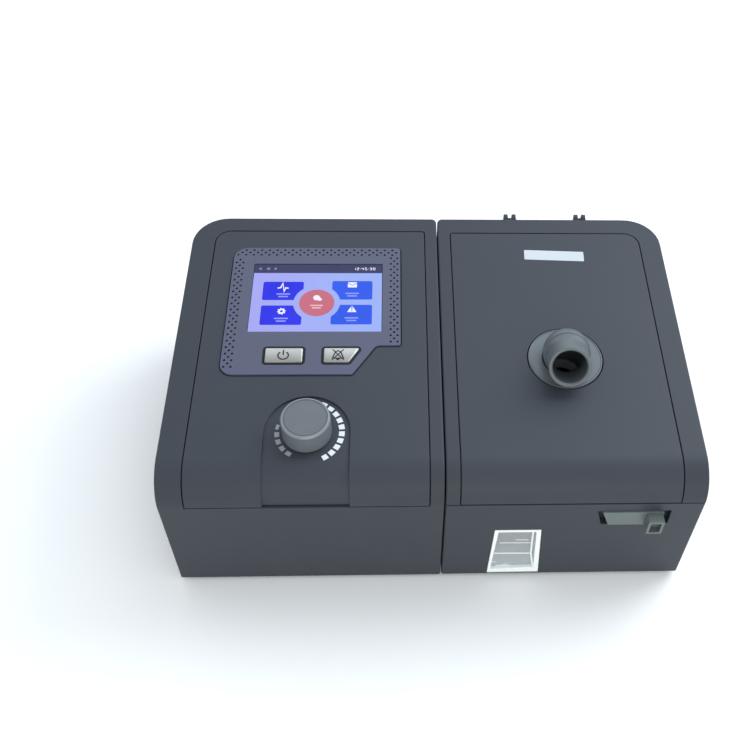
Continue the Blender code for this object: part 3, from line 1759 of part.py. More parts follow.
def hinge_pins(finish, frame):
    reach = ARM_WIDTH / 2 + GAP + LUG_WIDTH + GAP
    for name, x in (("hinge_pin_left", HINGE_LEFT), ("hinge_pin_right", HINGE_RIGHT)):
        turned(
            name,
            [
                (0, x - reach),
                (PIN_RADIUS, x - reach),
                (PIN_RADIUS, x + reach),
                (PIN_HEAD, x + reach),
                (PIN_HEAD, x + reach + PIN_HEAD_THICK),
                (0, x + reach + PIN_HEAD_THICK),
            ],
            finish,
            frame,
            (HINGE_Y, HINGE_HEIGHT),
            "X",
            SMALL_SEGMENTS,
        )


def water_window(finish, frame):
    pane = prism(
        "water_window", window_outline(GAP), "Y", -WINDOW_PROUD, SIDE_WALL, finish, frame
    )
    hollow = prism(
        "window hollow", window_outline(WINDOW_RIM), "Y", WINDOW_SKIN - WINDOW_PROUD, SIDE_WALL + OVERRUN,
        finish, frame,
    )
    return cut(pane, hollow)


def latch_slider(finish, frame):
    axis = frame_empty("latch slide", frame, (BAR_LEFT, 0, BAR_LOW))
    bar = ride(
        prism(
            "latch_slider",
            [
                (BAR_LEFT + LATCH_BAR_SLANT, BAR_LOW),
                (BAR_RIGHT, BAR_LOW),
                (BAR_RIGHT, BAR_TOP),
                (BAR_LEFT, BAR_TOP),
            ],
            "Y",
            -LATCH_BAR_PROUD,
            LATCH_DEPTH - GAP,
            finish,
            frame,
        ),
        axis,
    )
    tab = ride(
        block(
            "finger tab",
            (BAR_RIGHT - TAB_WIDTH, -TAB_PROUD, BAR_LOW),
            (BAR_RIGHT, LATCH_DEPTH / 2, BAR_TOP),
            finish,
            frame,
        ),
        axis,
    )
    fuse(bar, tab)
    neck = ride(
        block(
            "latch neck",
            (NECK_LEFT, LATCH_DEPTH / 2, BAR_LOW + NECK_LOW),
            (NECK_RIGHT, CATCH_FRONT + CATCH_THICK / 2, BAR_LOW + NECK_LOW + NECK_HEIGHT),
            finish,
            frame,
        ),
        axis,
    )
    fuse(bar, neck)
    catch = ride(
        prism(
            "latch catch",
            [
                (NECK_LEFT, BAR_LOW + NECK_LOW),
                (NECK_RIGHT, BAR_LOW + NECK_LOW),
                (NECK_RIGHT, CATCH_LOW),
                (FINGER_RIGHT, CATCH_LOW),
                (FINGER_RIGHT, CATCH_TOP),
                (NECK_LEFT, CATCH_TOP),
            ],
            "Y",
            CATCH_FRONT,
            CATCH_FRONT + CATCH_THICK,
            finish,
            frame,
        ),
        axis,
    )
    fuse(bar, catch)
    hollow = ride(
        block(
            "finger hollow",
            (BAR_RIGHT - TAB_WIDTH + TAB_WALL, -TAB_PROUD - OVERRUN, BAR_LOW + TAB_WALL),
            (BAR_RIGHT - TAB_WALL, -TAB_PROUD + TAB_HOLLOW, BAR_TOP - TAB_WALL),
            finish,
            frame,
        ),
        axis,
    )
    cut(bar, hollow)


def heater(finishes, frame):
    prism(
        "heater_carrier",
        rectangle(
            HEATER_LEFT - CARRIER_MARGIN,
            HEATER_LEFT + HEATER_WIDTH + CARRIER_MARGIN,
            HEATER_FRONT - CARRIER_MARGIN,
            HEATER_FRONT + HEATER_DEPTH + CARRIER_MARGIN,
            HEATER_CORNER,
        ),
        "Z",
        FLOOR + GAP,
        FLOOR + GAP + CARRIER_THICK,
        finishes["black"],
        frame,
    )
    plate = rectangle(
        HEATER_LEFT, HEATER_LEFT + HEATER_WIDTH, HEATER_FRONT, HEATER_FRONT + HEATER_DEPTH, HEATER_CORNER
    )
    prism("heater_plate", plate, "Z", HEATER_LOW, HEATER_LOW + HEATER_THICK, finishes["steel"], frame)
    prism(
        "tub_plate", plate, "Z", TUB_PLATE_LOW, TUB_PLATE_LOW + TUB_PLATE_THICK, finishes["steel"], frame
    )


def tub_outline(grow):
    return rectangle(
        TUB_LEFT - grow, TUB_RIGHT + grow, TUB_FRONT - grow, TUB_REAR + grow, TUB_CORNER + grow
    )


def water_tub(finishes, frame):
    tub = prism("water_tub", tub_outline(0), "Z", TUB_LOW, TUB_TOP, finishes["clear"], frame)
    lip = prism(
        "tub lip", tub_outline(TUB_LIP), "Z", TUB_TOP - TUB_LIP, TUB_TOP + OVERRUN, finishes["clear"], frame
    )
    fuse(tub, lip)
    level = block(
        "above the tub",
        (TUB_LEFT - OVERRUN, TUB_FRONT - OVERRUN, TUB_TOP),
        (TUB_RIGHT + OVERRUN, TUB_REAR + OVERRUN, TUB_TOP + OVERRUN * 2),
        finishes["clear"],
        frame,
    )
    cut(tub, level)
    inside = prism(
        "tub hollow", tub_outline(-TUB_WALL), "Z", TUB_LOW + TUB_WALL, TUB_TOP + OVERRUN,
        finishes["clear"], frame,
    )
    cut(tub, inside)
    port = turned(
        "tub port",
        cylinder_profile(PORT_BORE, TUB_LEFT - OVERRUN, TUB_LEFT + TUB_WALL + OVERRUN),
        finishes["clear"],
        frame,
        (PORT_Y, PORT_HEIGHT),
        "X",
    )
    cut(tub, port)
    gasket = prism(
        "tub_gasket", tub_outline(TUB_LIP - GAP), "Z", TUB_TOP + GAP, LID_LOW - GAP, finishes["rubber"], frame
    )
    gasket_hole = prism(
        "gasket hole", tub_outline(-TUB_WALL), "Z", TUB_TOP, LID_LOW, finishes["rubber"], frame
    )
    cut(gasket, gasket_hole)


# Lid, which swings on the hinge axis

def lid_shell(finish, case, top, pivot):
    shell = case_block("lid_shell", HUMID_LEFT, HUMID_RIGHT, 1, 0, 0, finish, case)
    bevel_edges(shell, EDGE_BEVEL, 2)
    hollow = case_block("lid hollow", HUMID_LEFT, HUMID_RIGHT, 1, SIDE_WALL, TOP_WALL, finish, case)
    cut(shell, hollow)
    stem_left = FINGER_RIGHT + LATCH_TRAVEL + HOOK_CLEAR
    stem_right = stem_left + HOOK_STEM
    hook_front = CATCH_FRONT + HOOK_BACK
    hook_low = CATCH_LOW - GAP - HOOK_FOOT_HEIGHT
    hook_top = front_height(hook_front, (TOP_WALL + POCKET_SINK) / 2)
    hook = prism(
        "lid hook",
        [
            (stem_left - HOOK_FOOT, hook_low),
            (stem_right, hook_low),
            (stem_right, hook_top),
            (stem_left, hook_top),
            (stem_left, CATCH_LOW - GAP),
            (stem_left - HOOK_FOOT, CATCH_LOW - GAP),
        ],
        "Y",
        hook_front,
        hook_front + HOOK_THICK,
        finish,
        case,
    )
    pocket = panel_sheet(
        "lid panel pocket",
        lid_panel_left() - PANEL_GROOVE,
        lid_panel_right() + PANEL_GROOVE,
        lid_panel_rear() + PANEL_GROOVE,
        LID_LOW - OVERRUN,
        -OVERRUN,
        POCKET_SINK,
        PANEL_CORNER + PANEL_GROOVE,
        finish,
        case,
    )
    cut(shell, pocket)
    below = block(
        "below the lid",
        (HUMID_LEFT - OVERRUN, -OVERRUN, -OVERRUN * 4),
        (HUMID_RIGHT + OVERRUN, DEPTH + OVERRUN, LID_LOW),
        finish,
        case,
    )
    cut(shell, below)
    fuse(shell, hook)
    for name, x in (("left", HINGE_LEFT), ("right", HINGE_RIGHT)):
        for side in (-1, 1):
            fuse(shell, lid_lug(f"lug {name} {side}", x, side, finish, case))
    cut(shell, hinge_holes("lug holes", finish, case))
    bore = turned(
        "flange seat",
        cylinder_profile(FLANGE_HUB + GAP, -TOP_WALL - OVERRUN, 0),
        finish,
        top,
        (OUTLET_X, OUTLET_Y),
    )
    cut(shell, bore)
    return ride(shell, pivot)


def lid_lug(name, x, side, finish, frame):
    near = x + side * (ARM_WIDTH / 2 + GAP)
    far = near + side * LUG_WIDTH
    outline = rounded([
        (DEPTH - SIDE_WALL / 2, HINGE_HEIGHT - LUG_RADIUS, 0),
        (HINGE_Y + LUG_RADIUS, HINGE_HEIGHT - LUG_RADIUS, LUG_RADIUS - GAP),
        (HINGE_Y + LUG_RADIUS, HINGE_HEIGHT + LUG_RADIUS, LUG_RADIUS - GAP),
        (DEPTH - SIDE_WALL / 2, HINGE_HEIGHT + LUG_RADIUS, 0),
    ])
    return prism(name, outline, "X", min(near, far), max(near, far), finish, frame)


def lid_panel_left():
    return LID_PANEL_LEFT


def lid_panel_right():
    return HUMID_RIGHT - LID_PANEL_RIGHT


def lid_panel_rear():
    return DEPTH - LID_PANEL_REAR


def lid_panel(finish, case, top, pivot):
    panel = panel_sheet(
        "lid_panel",
        lid_panel_left(),
        lid_panel_right(),
        lid_panel_rear(),
        LID_LOW,
        0,
        PANEL_THICK,
        PANEL_CORNER,
        finish,
        case,
    )
    hole = turned(
        "panel outlet hole",
        cylinder_profile(FLANGE_RADIUS + GAP, -OVERRUN * 2, OVERRUN),
        finish,
        top,
        (OUTLET_X, OUTLET_Y),
    )
    cut(panel, hole)
    return ride(panel, pivot)


def lid_liner(finish, case, pivot):
    """The plate that presses on the tub's gasket and leads the moist air to the outlet."""
    left = TUB_LEFT - LINER_MARGIN
    right = TUB_RIGHT + LINER_MARGIN
    front = TUB_FRONT - LINER_MARGIN
    rear = TUB_REAR + LINER_MARGIN
    liner = prism(
        "lid_liner",
        rectangle(left, right, front, rear, TUB_CORNER),
        "Z",
        LID_LOW,
        LID_LOW + LINER_THICK,
        finish,
        case,
    )
    posts = cylinders(
        "liner posts",
        [
            (x, y)
            for x in (left + LINER_POST_INSET, right - LINER_POST_INSET)
            for y in (front + LINER_POST_INSET, rear - LINER_POST_INSET)
        ],
        LINER_POST,
        LID_LOW + LINER_THICK / 2,
        lambda x, y: top_height(y - LINER_POST) - TOP_WALL / math.cos(TOP_SLOPE) - GAP,
        finish,
        case,
    )
    fuse(liner, posts)
    tube_top = top_height(OUTLET_Y - LINER_TUBE) - SPIGOT_LOW - GAP
    tube = turned(
        "liner tube",
        cylinder_profile(LINER_TUBE, LID_LOW + LINER_THICK / 2, tube_top),
        finish,
        case,
        (OUTLET_X, OUTLET_Y),
    )
    fuse(liner, tube)
    bore = turned(
        "liner bore",
        cylinder_profile(LINER_BORE, LID_LOW - OVERRUN, REAR_HEIGHT),
        finish,
        case,
        (OUTLET_X, OUTLET_Y),
    )
    cut(liner, bore)
    return ride(liner, pivot)


# Outlet, whose elbow turns about the flange's own axis

def outlet(finishes, top):
    centre = (OUTLET_X, OUTLET_Y)
    seat = COLLAR_SINK
    turned(
        "outlet_flange",
        [
            (SPIGOT_RADIUS + GAP, -FLANGE_HUB_LOW),
            (FLANGE_HUB, -FLANGE_HUB_LOW),
            (FLANGE_HUB, -PANEL_THICK),
            (FLANGE_RADIUS, -PANEL_THICK),
            (FLANGE_RADIUS, 0),
            (COLLAR_RADIUS + GAP, 0),
            (COLLAR_RADIUS + GAP, -seat),
            (SPIGOT_RADIUS + GAP, -seat),
        ],
        finishes["outlet"],
        top,
        centre,
        segments=FINE_SEGMENTS,
    )
    axis = frame_empty("outlet axis", top, (*centre, 0), (0, 0, OUTLET_TURN))
    groove = SPIGOT_RADIUS - SEAL_GROOVE
    groove_high = -SEAL_GROOVE_LOW + SEAL_GROOVE_WIDTH
    lip_high = -FLANGE_HUB_LOW - GAP
    lip_low = lip_high - SPIGOT_LIP_THICK
    knuckle = [
        (
            COLLAR_RADIUS * math.cos(math.pi / 2 * step / KNUCKLE_STEPS),
            ELBOW_JOINT + COLLAR_RADIUS * math.sin(math.pi / 2 * step / KNUCKLE_STEPS),
        )
        for step in range(KNUCKLE_STEPS)
    ]
    elbow = turned(
        "outlet_elbow",
        [
            (0, -SPIGOT_LOW),
            (SPIGOT_RADIUS, -SPIGOT_LOW),
            (SPIGOT_RADIUS, lip_low),
            (SPIGOT_RADIUS + SPIGOT_LIP, lip_low),
            (SPIGOT_RADIUS + SPIGOT_LIP, lip_high),
            (SPIGOT_RADIUS, lip_high),
            (SPIGOT_RADIUS, -SEAL_GROOVE_LOW),
            (groove, -SEAL_GROOVE_LOW),
            (groove, groove_high),
            (SPIGOT_RADIUS, groove_high),
            (SPIGOT_RADIUS, -seat + GAP),
            (COLLAR_RADIUS, -seat + GAP),
            *knuckle,
            (0, ELBOW_JOINT + COLLAR_RADIUS),
        ],
        finishes["outlet"],
        axis,
    )
    joint = Vector((0, 0, ELBOW_JOINT))
    out = Vector((0, -math.cos(ELBOW_LIFT), math.sin(ELBOW_LIFT)))
    tube = [(joint, out), (joint + out * ELBOW_REACH, out)]
    fuse(elbow, swept("elbow tube", tube, ELBOW_OUTER, 0, finishes["outlet"], axis))
    cut(elbow, swept("elbow bore", bore_path(), ELBOW_BORE, 1 / 2, finishes["outlet"], axis))
    turned(
        "outlet_seal",
        ring_profile(groove + GAP, SPIGOT_RADIUS, -SEAL_GROOVE_LOW + GAP, groove_high - GAP),
        finishes["rubber"],
        axis,
    )


def bore_path():
    """Up through the spigot, round the bend and out past the mouth."""
    up = Vector((0, 0, 1))
    bend = math.pi / 2 - ELBOW_LIFT
    reach = ELBOW_BEND * math.tan(bend / 2)
    path = [(Vector((0, 0, -SPIGOT_LOW - OVERRUN)), up)]
    for step in range(ELBOW_BEND_STEPS + 1):
        angle = bend * step / ELBOW_BEND_STEPS
        point = Vector((
            0,
            -ELBOW_BEND * (1 - math.cos(angle)),
            ELBOW_JOINT - reach + ELBOW_BEND * math.sin(angle),
        ))
        path.append((point, Vector((0, -math.sin(angle), math.cos(angle)))))
    last, direction = path[-1]
    path.append((last + direction * (ELBOW_REACH - reach + OVERRUN), direction))
    return path


def finishes():
    return {
        "shell": material("dark grey plastic", (0.085, 0.095, 0.11), 0.55),
        "dark": material("black grey plastic", (0.03, 0.03, 0.035), 0.6),
        "bezel": material("bezel grey plastic", (0.14, 0.15, 0.18), 0.5),
        "silver": material("silver paint", (0.62, 0.62, 0.62), 0.3, 0.7),
        "knob": material("knob grey plastic", (0.22, 0.23, 0.24), 0.45),
        "outlet": material("outlet grey plastic", (0.23, 0.27, 0.29), 0.4),
        "latch": material("latch grey plastic", (0.21, 0.24, 0.25), 0.45),
        "black": material("black plastic", (0.02, 0.02, 0.02), 0.5),
        "glass": material("screen glass", (0.85, 0.88, 0.95), 0.05, 0.0, 0.25),
        "screen": material("lit screen", (0.55, 0.60, 0.90), 0.2),
        "clear": material("clear polycarbonate", (0.85, 0.9, 0.92), 0.05, 0.0, 0.35),
        "rubber": material("soft rubber", (0.05, 0.05, 0.05), 0.85),
        "foam": material("filter foam", (0.75, 0.76, 0.78), 0.95),
        "board": material("circuit board", (0.02, 0.16, 0.06), 0.4),
        "volute": material("light plastic", (0.45, 0.46, 0.47), 0.5),
        "white": material("white plastic", (0.8, 0.8, 0.8), 0.45),
        "steel": material("steel", (0.55, 0.56, 0.58), 0.3, 1.0),
        "brass": material("brass", (0.7, 0.55, 0.25), 0.3, 1.0),
    }


def main():
    clear_scene()
    look = finishes()
    left = MAIN_LEFT - COVER_PROUD
    front = -TAB_PROUD
    rear = HINGE_Y + LUG_RADIUS
    case = frame_empty(
        "case frame", None, (-(left + HUMID_RIGHT) / 2, -(front + rear) / 2, FOOT_HEIGHT)
    )
    top = frame_empty("top face", case, (0, 0, top_height(0)), (TOP_SLOPE, 0, 0))

    main_base(look["shell"], case)
    main_housing(look["shell"], case)
    control_panel(look["shell"], case, top)
    screen_bezel(look["bezel"], top)
    display_stack(look, top)
    front_board(look["board"], top)
    board_screws(look["steel"], top)
    buttons(look, top)
    knob_parts(look, top)
    blower(look, case)
    port_seal(look["rubber"], case)
    main_board(look["board"], case)
    power_inlet(look["black"], case)
    filter_parts(look, case)
    feet("main_foot", MAIN_FEET, look["rubber"], case)
    base_screws(look["steel"], case)

    humidifier_base(look["shell"], case)
    water_window(look["clear"], case)
    latch_slider(look["latch"], case)
    heater(look, case)
    water_tub(look, case)
    hinge_pins(look["steel"], case)
    feet("humidifier_foot", HUMID_FEET, look["rubber"], case)

    hinge = frame_empty("lid hinge", case, (0, HINGE_Y, HINGE_HEIGHT))
    lid_shell(look["shell"], case, top, hinge)
    lid_panel(look["shell"], case, top, hinge)
    lid_liner(look["volute"], case, hinge)
    lid_top = frame_empty(
        "lid top face", hinge, (0, -HINGE_Y, top_height(0) - HINGE_HEIGHT), (TOP_SLOPE, 0, 0)
    )
    outlet(look, lid_top)


main()
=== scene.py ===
"""Looks of a bedside airway-pressure machine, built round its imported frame.

Lengths in this file are millimetres in the case's own frame, unless a name ends in _m: X runs to
the right from the seam between the two units, Y back from the front wall, Z up from the shells'
bottom edge. Pieces on the skin are laid out flat, as (x, s, h): s runs up the front wall, round
the front's arc and back along the sloping top, and h is the height above the skin.
"""

import math
from functools import partialmethod

import bmesh
import bpy
import numpy as np
from bpy.props import FloatProperty, FloatVectorProperty, PointerProperty
from mathutils import Matrix, Vector


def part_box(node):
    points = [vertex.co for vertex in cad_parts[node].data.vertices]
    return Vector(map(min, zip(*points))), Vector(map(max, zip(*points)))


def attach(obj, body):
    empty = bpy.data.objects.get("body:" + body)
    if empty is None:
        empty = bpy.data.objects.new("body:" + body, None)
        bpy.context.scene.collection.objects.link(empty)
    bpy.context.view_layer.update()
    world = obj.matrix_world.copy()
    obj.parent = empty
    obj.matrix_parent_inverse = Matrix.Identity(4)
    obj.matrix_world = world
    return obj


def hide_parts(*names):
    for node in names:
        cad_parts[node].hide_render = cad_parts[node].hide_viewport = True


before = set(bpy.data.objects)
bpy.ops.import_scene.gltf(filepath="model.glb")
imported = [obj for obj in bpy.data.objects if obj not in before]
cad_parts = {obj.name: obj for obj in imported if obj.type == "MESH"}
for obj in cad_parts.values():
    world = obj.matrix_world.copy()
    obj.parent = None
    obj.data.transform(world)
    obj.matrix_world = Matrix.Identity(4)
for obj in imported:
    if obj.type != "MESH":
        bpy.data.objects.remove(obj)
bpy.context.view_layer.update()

bl_info = {
    "name": "Bedside Airway Machine",
    "version": (1, 0, 0),
    "blender": (4, 5, 0),
    "location": "View3D > Sidebar > Airway Machine",
    "description": "Builds the looks of a blower unit docked to a heated humidifier",
    "category": "Object",
}

MM = 0.001

# Both cases
SEAM = 0.3
MAIN_WIDTH = 142.0
HUMID_WIDTH = 132.0
DEPTH = 185.0
REAR_HEIGHT = 95.2
SLOPE = math.radians(2)
FRONT_R = 19.0
REAR_R = 20.0
SEAM_CORNER = 3.0
SIDE_WALL = 2.5
TOP_WALL = 5.0
INNER_CORNER = 0.8
INNER_FILLET = 0.6
FLOOR = 3.0
LID_LOW = 71.9
BASE_TOP = 71.3

# Mesh steps, a radius that looks sharp, welding distances, and levels clear of every sheet
ARC_ROWS = 15
CORNER_STEPS = 10
FILLET_STEPS = 5
SHARP = 0.01
WELD = 0.004
CUT_WELD = 0.003
FINE_WELD = 0.001
DEEP = -9
PAST = 3

# The skin's profile, worked out from the sizes
FRONT_TURN = math.pi / 2 - SLOPE
FRONT_TOP = REAR_HEIGHT - DEPTH * math.tan(SLOPE)
ARC_END = FRONT_R * (1 - math.sin(SLOPE)) / math.cos(SLOPE)
ARC_START = ARC_END - FRONT_R * FRONT_TURN
CENTRE_Z = FRONT_TOP + ARC_END * math.sin(SLOPE) - FRONT_R * math.cos(SLOPE)

HOUSING_LOW, HOUSING_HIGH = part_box("main_housing")
CASE_ORIGIN = np.array([HOUSING_HIGH.x + SEAM * MM, HOUSING_LOW.y, HOUSING_LOW.z])


def linear(code):
    """A screen colour as scene-linear light: a channel c becomes ((c + 0.055) / 1.055) to the power 2.4."""
    share = np.array([int(code[at:at + 2], 16) for at in (0, 2, 4)]) / 255
    low, high = share / 12.92, ((share + 0.055) / 1.055) ** 2.4
    return tuple(np.where(share <= 0.04045, low, high).tolist())


def colour_prop(name, description, code):
    return FloatVectorProperty(
        name=name, description=description, subtype="COLOR", size=3, min=0, max=1, default=linear(code)
    )


def length_prop(name, description, millimetres):
    return FloatProperty(
        name=name, description=description, default=millimetres * MM, min=0.00001, unit="LENGTH", precision=4
    )


class MachineSizes(bpy.types.PropertyGroup):
    """Sizes of the small forms that the frame leaves to the looks."""

    edge_fillet: length_prop("Edge fillet", "Radius along the case's long outer edges", 1.0)
    panel_gap: length_prop("Panel gap", "Width of the groove round each inset panel", 0.5)
    small_round: length_prop("Small rounding", "Radius on moulded edges", 0.22)
    hole: length_prop("Border hole", "Diameter of one hole in the bezel's border", 1.35)
    hole_pitch: length_prop("Hole pitch", "Distance between holes in one row", 4.4)
    hole_row: length_prop("Hole row", "Distance between rows of holes", 1.85)
    mark_height: length_prop("Mark height", "Thickness of printed marks", 0.04)
    knob_highlight_edge: length_prop("Knob edge", "Width of the knob's bright chamfer", 1.2)


class MachineColours(bpy.types.PropertyGroup):
    """Colours of the finishes."""

    shell: colour_prop("Shell", "Grained housing plastic", "34383f")
    panel: colour_prop("Panel", "Inset panels", "353941")
    bezel: colour_prop("Bezel", "Plate round the screen", "4f5265")
    silver: colour_prop("Silver", "Metallised keys", "bcbbb8")
    knob: colour_prop("Knob", "Satin control knob", "5f646a")
    # Lighter copy of the knob's colour: a painted highlight on its chamfer
    knob_highlight_edge: colour_prop("Knob edge", "Chamfer round the knob", "7a7f82")
    outlet: colour_prop("Outlet", "Outlet elbow and its flange", "575e62")
    latch: colour_prop("Latch", "Latch slider", "5c6564")
    glow: colour_prop("Screen glow", "Screen's background", "a4a8f2")
    status: colour_prop("Status bar", "Bar along the screen's top", "30335a")
    tile_left: colour_prop("Left tiles", "Menu tiles on the left", "141fea")
    tile_right: colour_prop("Right tiles", "Menu tiles on the right", "1d56ef")
    start: colour_prop("Round tile", "Round tile in the middle", "c8697b")
    label: colour_prop("Label", "Blank sticker on the lid", "b7bdc4")


def sizes():
    return bpy.context.scene.airway_sizes


def colours():
    return bpy.context.scene.airway_colours


# Skin of the case

def skin(x, s, h=0.0):
    """Point of the skin: centre of the front arc, plus (R + h) along the skin's normal, plus the
    straight run behind the arc or under it."""
    x, s, h = np.broadcast_arrays(np.asarray(x, float), np.asarray(s, float), np.asarray(h, float))
    turn = np.clip((ARC_END - s) / FRONT_R, 0, FRONT_TURN) + SLOPE
    behind = np.maximum(s - ARC_END, 0)
    under = np.maximum(ARC_START - s, 0)
    y = FRONT_R - (FRONT_R + h) * np.sin(turn) + behind * math.cos(SLOPE)
    z = CENTRE_Z + (FRONT_R + h) * np.cos(turn) + behind * math.sin(SLOPE) - under
    return np.stack([x, y, z], -1)


def skin_normal(s):
    """Normal of the skin: (0, -sin t, cos t), where t grows from the slope to a right angle."""
    turn = np.clip((ARC_END - np.asarray(s, float)) / FRONT_R, 0, FRONT_TURN) + SLOPE
    return np.stack([np.zeros_like(turn), -np.sin(turn), np.cos(turn)], -1)


def skin_place(z, h=0.0):
    """Where along s the skin, moved by h, stands at height z on the front."""
    if z <= CENTRE_Z:
        return ARC_START - (CENTRE_Z - z)
    return ARC_END - FRONT_R * (math.acos((z - CENTRE_Z) / (FRONT_R + h)) - SLOPE)


def front_rows(z, h=0.0):
    """The same number of s values from height z to the end of the arc, whatever z is."""
    low = skin_place(z, h)
    if z < CENTRE_Z:
        return np.concatenate([[low], np.linspace(ARC_START, ARC_END, ARC_ROWS)])
    return np.linspace(low, ARC_END, ARC_ROWS + 1)


# Ways to lay a flat loop in space

def on_skin(loop, h):
    return skin(loop[:, 0], loop[:, 1], h)


def upright(loop, z):
    """A loop of (x, y) at one height."""
    return np.column_stack([loop, np.full(len(loop), z)])


def facing_front(loop, y):
    """A loop of (x, z) at one depth."""
    return np.column_stack([loop[:, 0], np.full(len(loop), y), loop[:, 1]])


def facing_side(loop, x):
    """A loop of (y, z) at one place across."""
    return np.column_stack([np.full(len(loop), x), loop])


# Meshes

def weld(mesh, distance, new=True):
    """Join points closer than a distance, and, for a new mesh, turn its faces outwards."""
    work = bmesh.new()
    work.from_mesh(mesh)
    bmesh.ops.remove_doubles(work, verts=work.verts, dist=distance * MM)
    if new:
        bmesh.ops.dissolve_degenerate(work, edges=work.edges, dist=distance * MM / 4)
        bmesh.ops.recalc_face_normals(work, faces=work.faces)
    work.to_mesh(mesh)
    work.free()


def link(name, data):
    made = bpy.data.objects.new(name, data)
    bpy.context.scene.collection.objects.link(made)
    return made


class Patches:
    """Grids and flat faces, gathered in millimetres and welded into one mesh."""

    def __init__(self):
        self.points = []
        self.faces = []
        self.count = 0

    def _keep(self, points, faces):
        self.points.append(points.reshape(-1, 3))
        self.faces.extend((faces + self.count).tolist())
        self.count += self.points[-1].shape[0]

    def grid(self, points, round_u=False, round_v=False):
        """Quads between neighbours of a grid of points, closed round on either parameter."""
        rows, columns = points.shape[:2]
        index = np.arange(rows * columns).reshape(rows, columns)
        if round_u:
            index = np.vstack([index, index[:1]])
        if round_v:
            index = np.hstack([index, index[:, :1]])
        quads = np.stack([index[:-1, :-1], index[1:, :-1], index[1:, 1:], index[:-1, 1:]], -1)
        self._keep(points, quads.reshape(-1, 4))
        return self

    def face(self, points):
        """One flat face through a closed loop of points."""
        self._keep(points, np.arange(len(points)).reshape(1, -1))
        return self

    def tube(self, rings):
        """Quads along a row of closed loops, with a flat face at each end."""
        return self.grid(rings, round_v=True).face(rings[0]).face(rings[-1])

    def prism(self, loop, low, high, lay=on_skin):
        """A loop carried straight from one level to another."""
        return self.tube(np.stack([lay(loop, low), lay(loop, high)]))

    def build(self, name, distance=WELD):
        mesh = bpy.data.meshes.new(name)
        points = np.concatenate(self.points) * MM + CASE_ORIGIN
        mesh.from_pydata(points.tolist(), [], self.faces)
        weld(mesh, distance)
        return link(name, mesh)


def outline(corners, inset=0.0, steps=6):
    """Closed outline of a polygon with round corners, anticlockwise: each corner is the arc
    centre + (r - inset) (cos a, sin a) between the normals of its two sides. A radius below
    the inset is raised to it, so that the moved line never crosses itself."""
    place = np.array([corner[:2] for corner in corners], float)
    radius = np.array([corner[2] for corner in corners], float)
    before = place - np.roll(place, 1, 0)
    after = np.roll(place, -1, 0) - place
    before /= np.linalg.norm(before, axis=1, keepdims=True)
    after /= np.linalg.norm(after, axis=1, keepdims=True)
    bend = before[:, 0] * after[:, 1] - before[:, 1] * after[:, 0]
    side = np.sign(bend)
    if inset > 0:
        radius = np.where(side > 0, np.maximum(radius, inset + 0.05), radius)
    turn = np.arctan2(bend, (before * after).sum(1))
    left = np.stack([-before[:, 1], before[:, 0]], 1)
    reach = radius * np.tan(np.abs(turn) / 2)
    centre = place - before * reach[:, None] + left * (side * radius)[:, None]
    start = np.arctan2(-left[:, 1] * side, -left[:, 0] * side)
    angle = start[:, None] + turn[:, None] * np.linspace(0, 1, steps)[None, :]
    size = (radius - side * inset)[:, None]
    ring = np.stack([centre[:, :1] + size * np.cos(angle), centre[:, 1:] + size * np.sin(angle)], -1)
    return ring.reshape(-1, 2)


def box_outline(left, right, front, rear, radius, inset=0.0, steps=6):
    corners = [(left, front, radius), (right, front, radius), (right, rear, radius), (left, rear, radius)]
    return outline(corners, inset, steps)


def full_turn(count):
    return np.linspace(0, 2 * math.pi, count, endpoint=False)


def unit(angle):
    """Directions (cos a, sin a)."""
    return np.stack([np.cos(angle), np.sin(angle)], -1)


def circle(x, y, radius, count):
    """Points (x, y) + r (cos a, sin a)."""
    return (x, y) + radius * unit(full_turn(count))


def prism(name, loop, low, high, lay=on_skin):
    return Patches().prism(loop, low, high, lay).build(name)


def slab(name, loop, low, high):
    """A sheet that follows the skin: at each s its section is the rectangle between the loop's
    left and right sides and the two levels, carried along s over the front's arc."""
    arc = np.linspace(ARC_START, ARC_END, ARC_ROWS)
    first, last = loop[:, 1].min(), loop[:, 1].max()
    inside = arc[(arc > first) & (arc < last)]
    rows = np.unique(np.round(np.concatenate([loop[:, 1], inside]), 5))
    rows = rows[np.concatenate([[True], np.diff(rows) > 0.02])]
    a, b = loop, np.roll(loop, -1, 0)
    run = np.where(np.abs(b[:, 1] - a[:, 1]) < 1e-7, np.nan, b[:, 1] - a[:, 1])
    with np.errstate(invalid="ignore"):
        share = (rows[:, None] - a[None, :, 1]) / run[None, :]
        crossing = a[None, :, 0] + share * (b[:, 0] - a[:, 0])[None, :]
        crossing = np.where((share >= -1e-4) & (share <= 1.0001), crossing, np.nan)
    left, right = np.nanmin(crossing, 1), np.nanmax(crossing, 1)
    x = np.stack([left, right, right, left], 1)
    h = np.broadcast_to([low, low, high, high], x.shape)
    section = skin(x, np.repeat(rows[:, None], 4, 1), h)
    return Patches().tube(section).build(name)


def frame_at(centre, axis, sideways=(1, 0, 0)):
    """Origin and two vectors across an axis, and the axis itself."""
    axis = np.array(axis, float) / np.linalg.norm(axis)
    across = np.array(sideways, float) - axis * np.dot(sideways, axis)
    across /= np.linalg.norm(across)
    return np.array(centre, float), across, np.cross(axis, across), axis


def turned(name, profile, place, count):
    """A profile of (radius, height) turned round an axis: point = origin + r (cos a U + sin a V) + h W."""
    origin, u, v, w = place
    profile = np.array(profile, float)
    ring = unit(full_turn(count)) @ np.stack([u, v])
    points = origin + profile[:, None, :1] * ring[None] + profile[:, None, 1:] * w
    return Patches().grid(points, round_v=True).build(name)


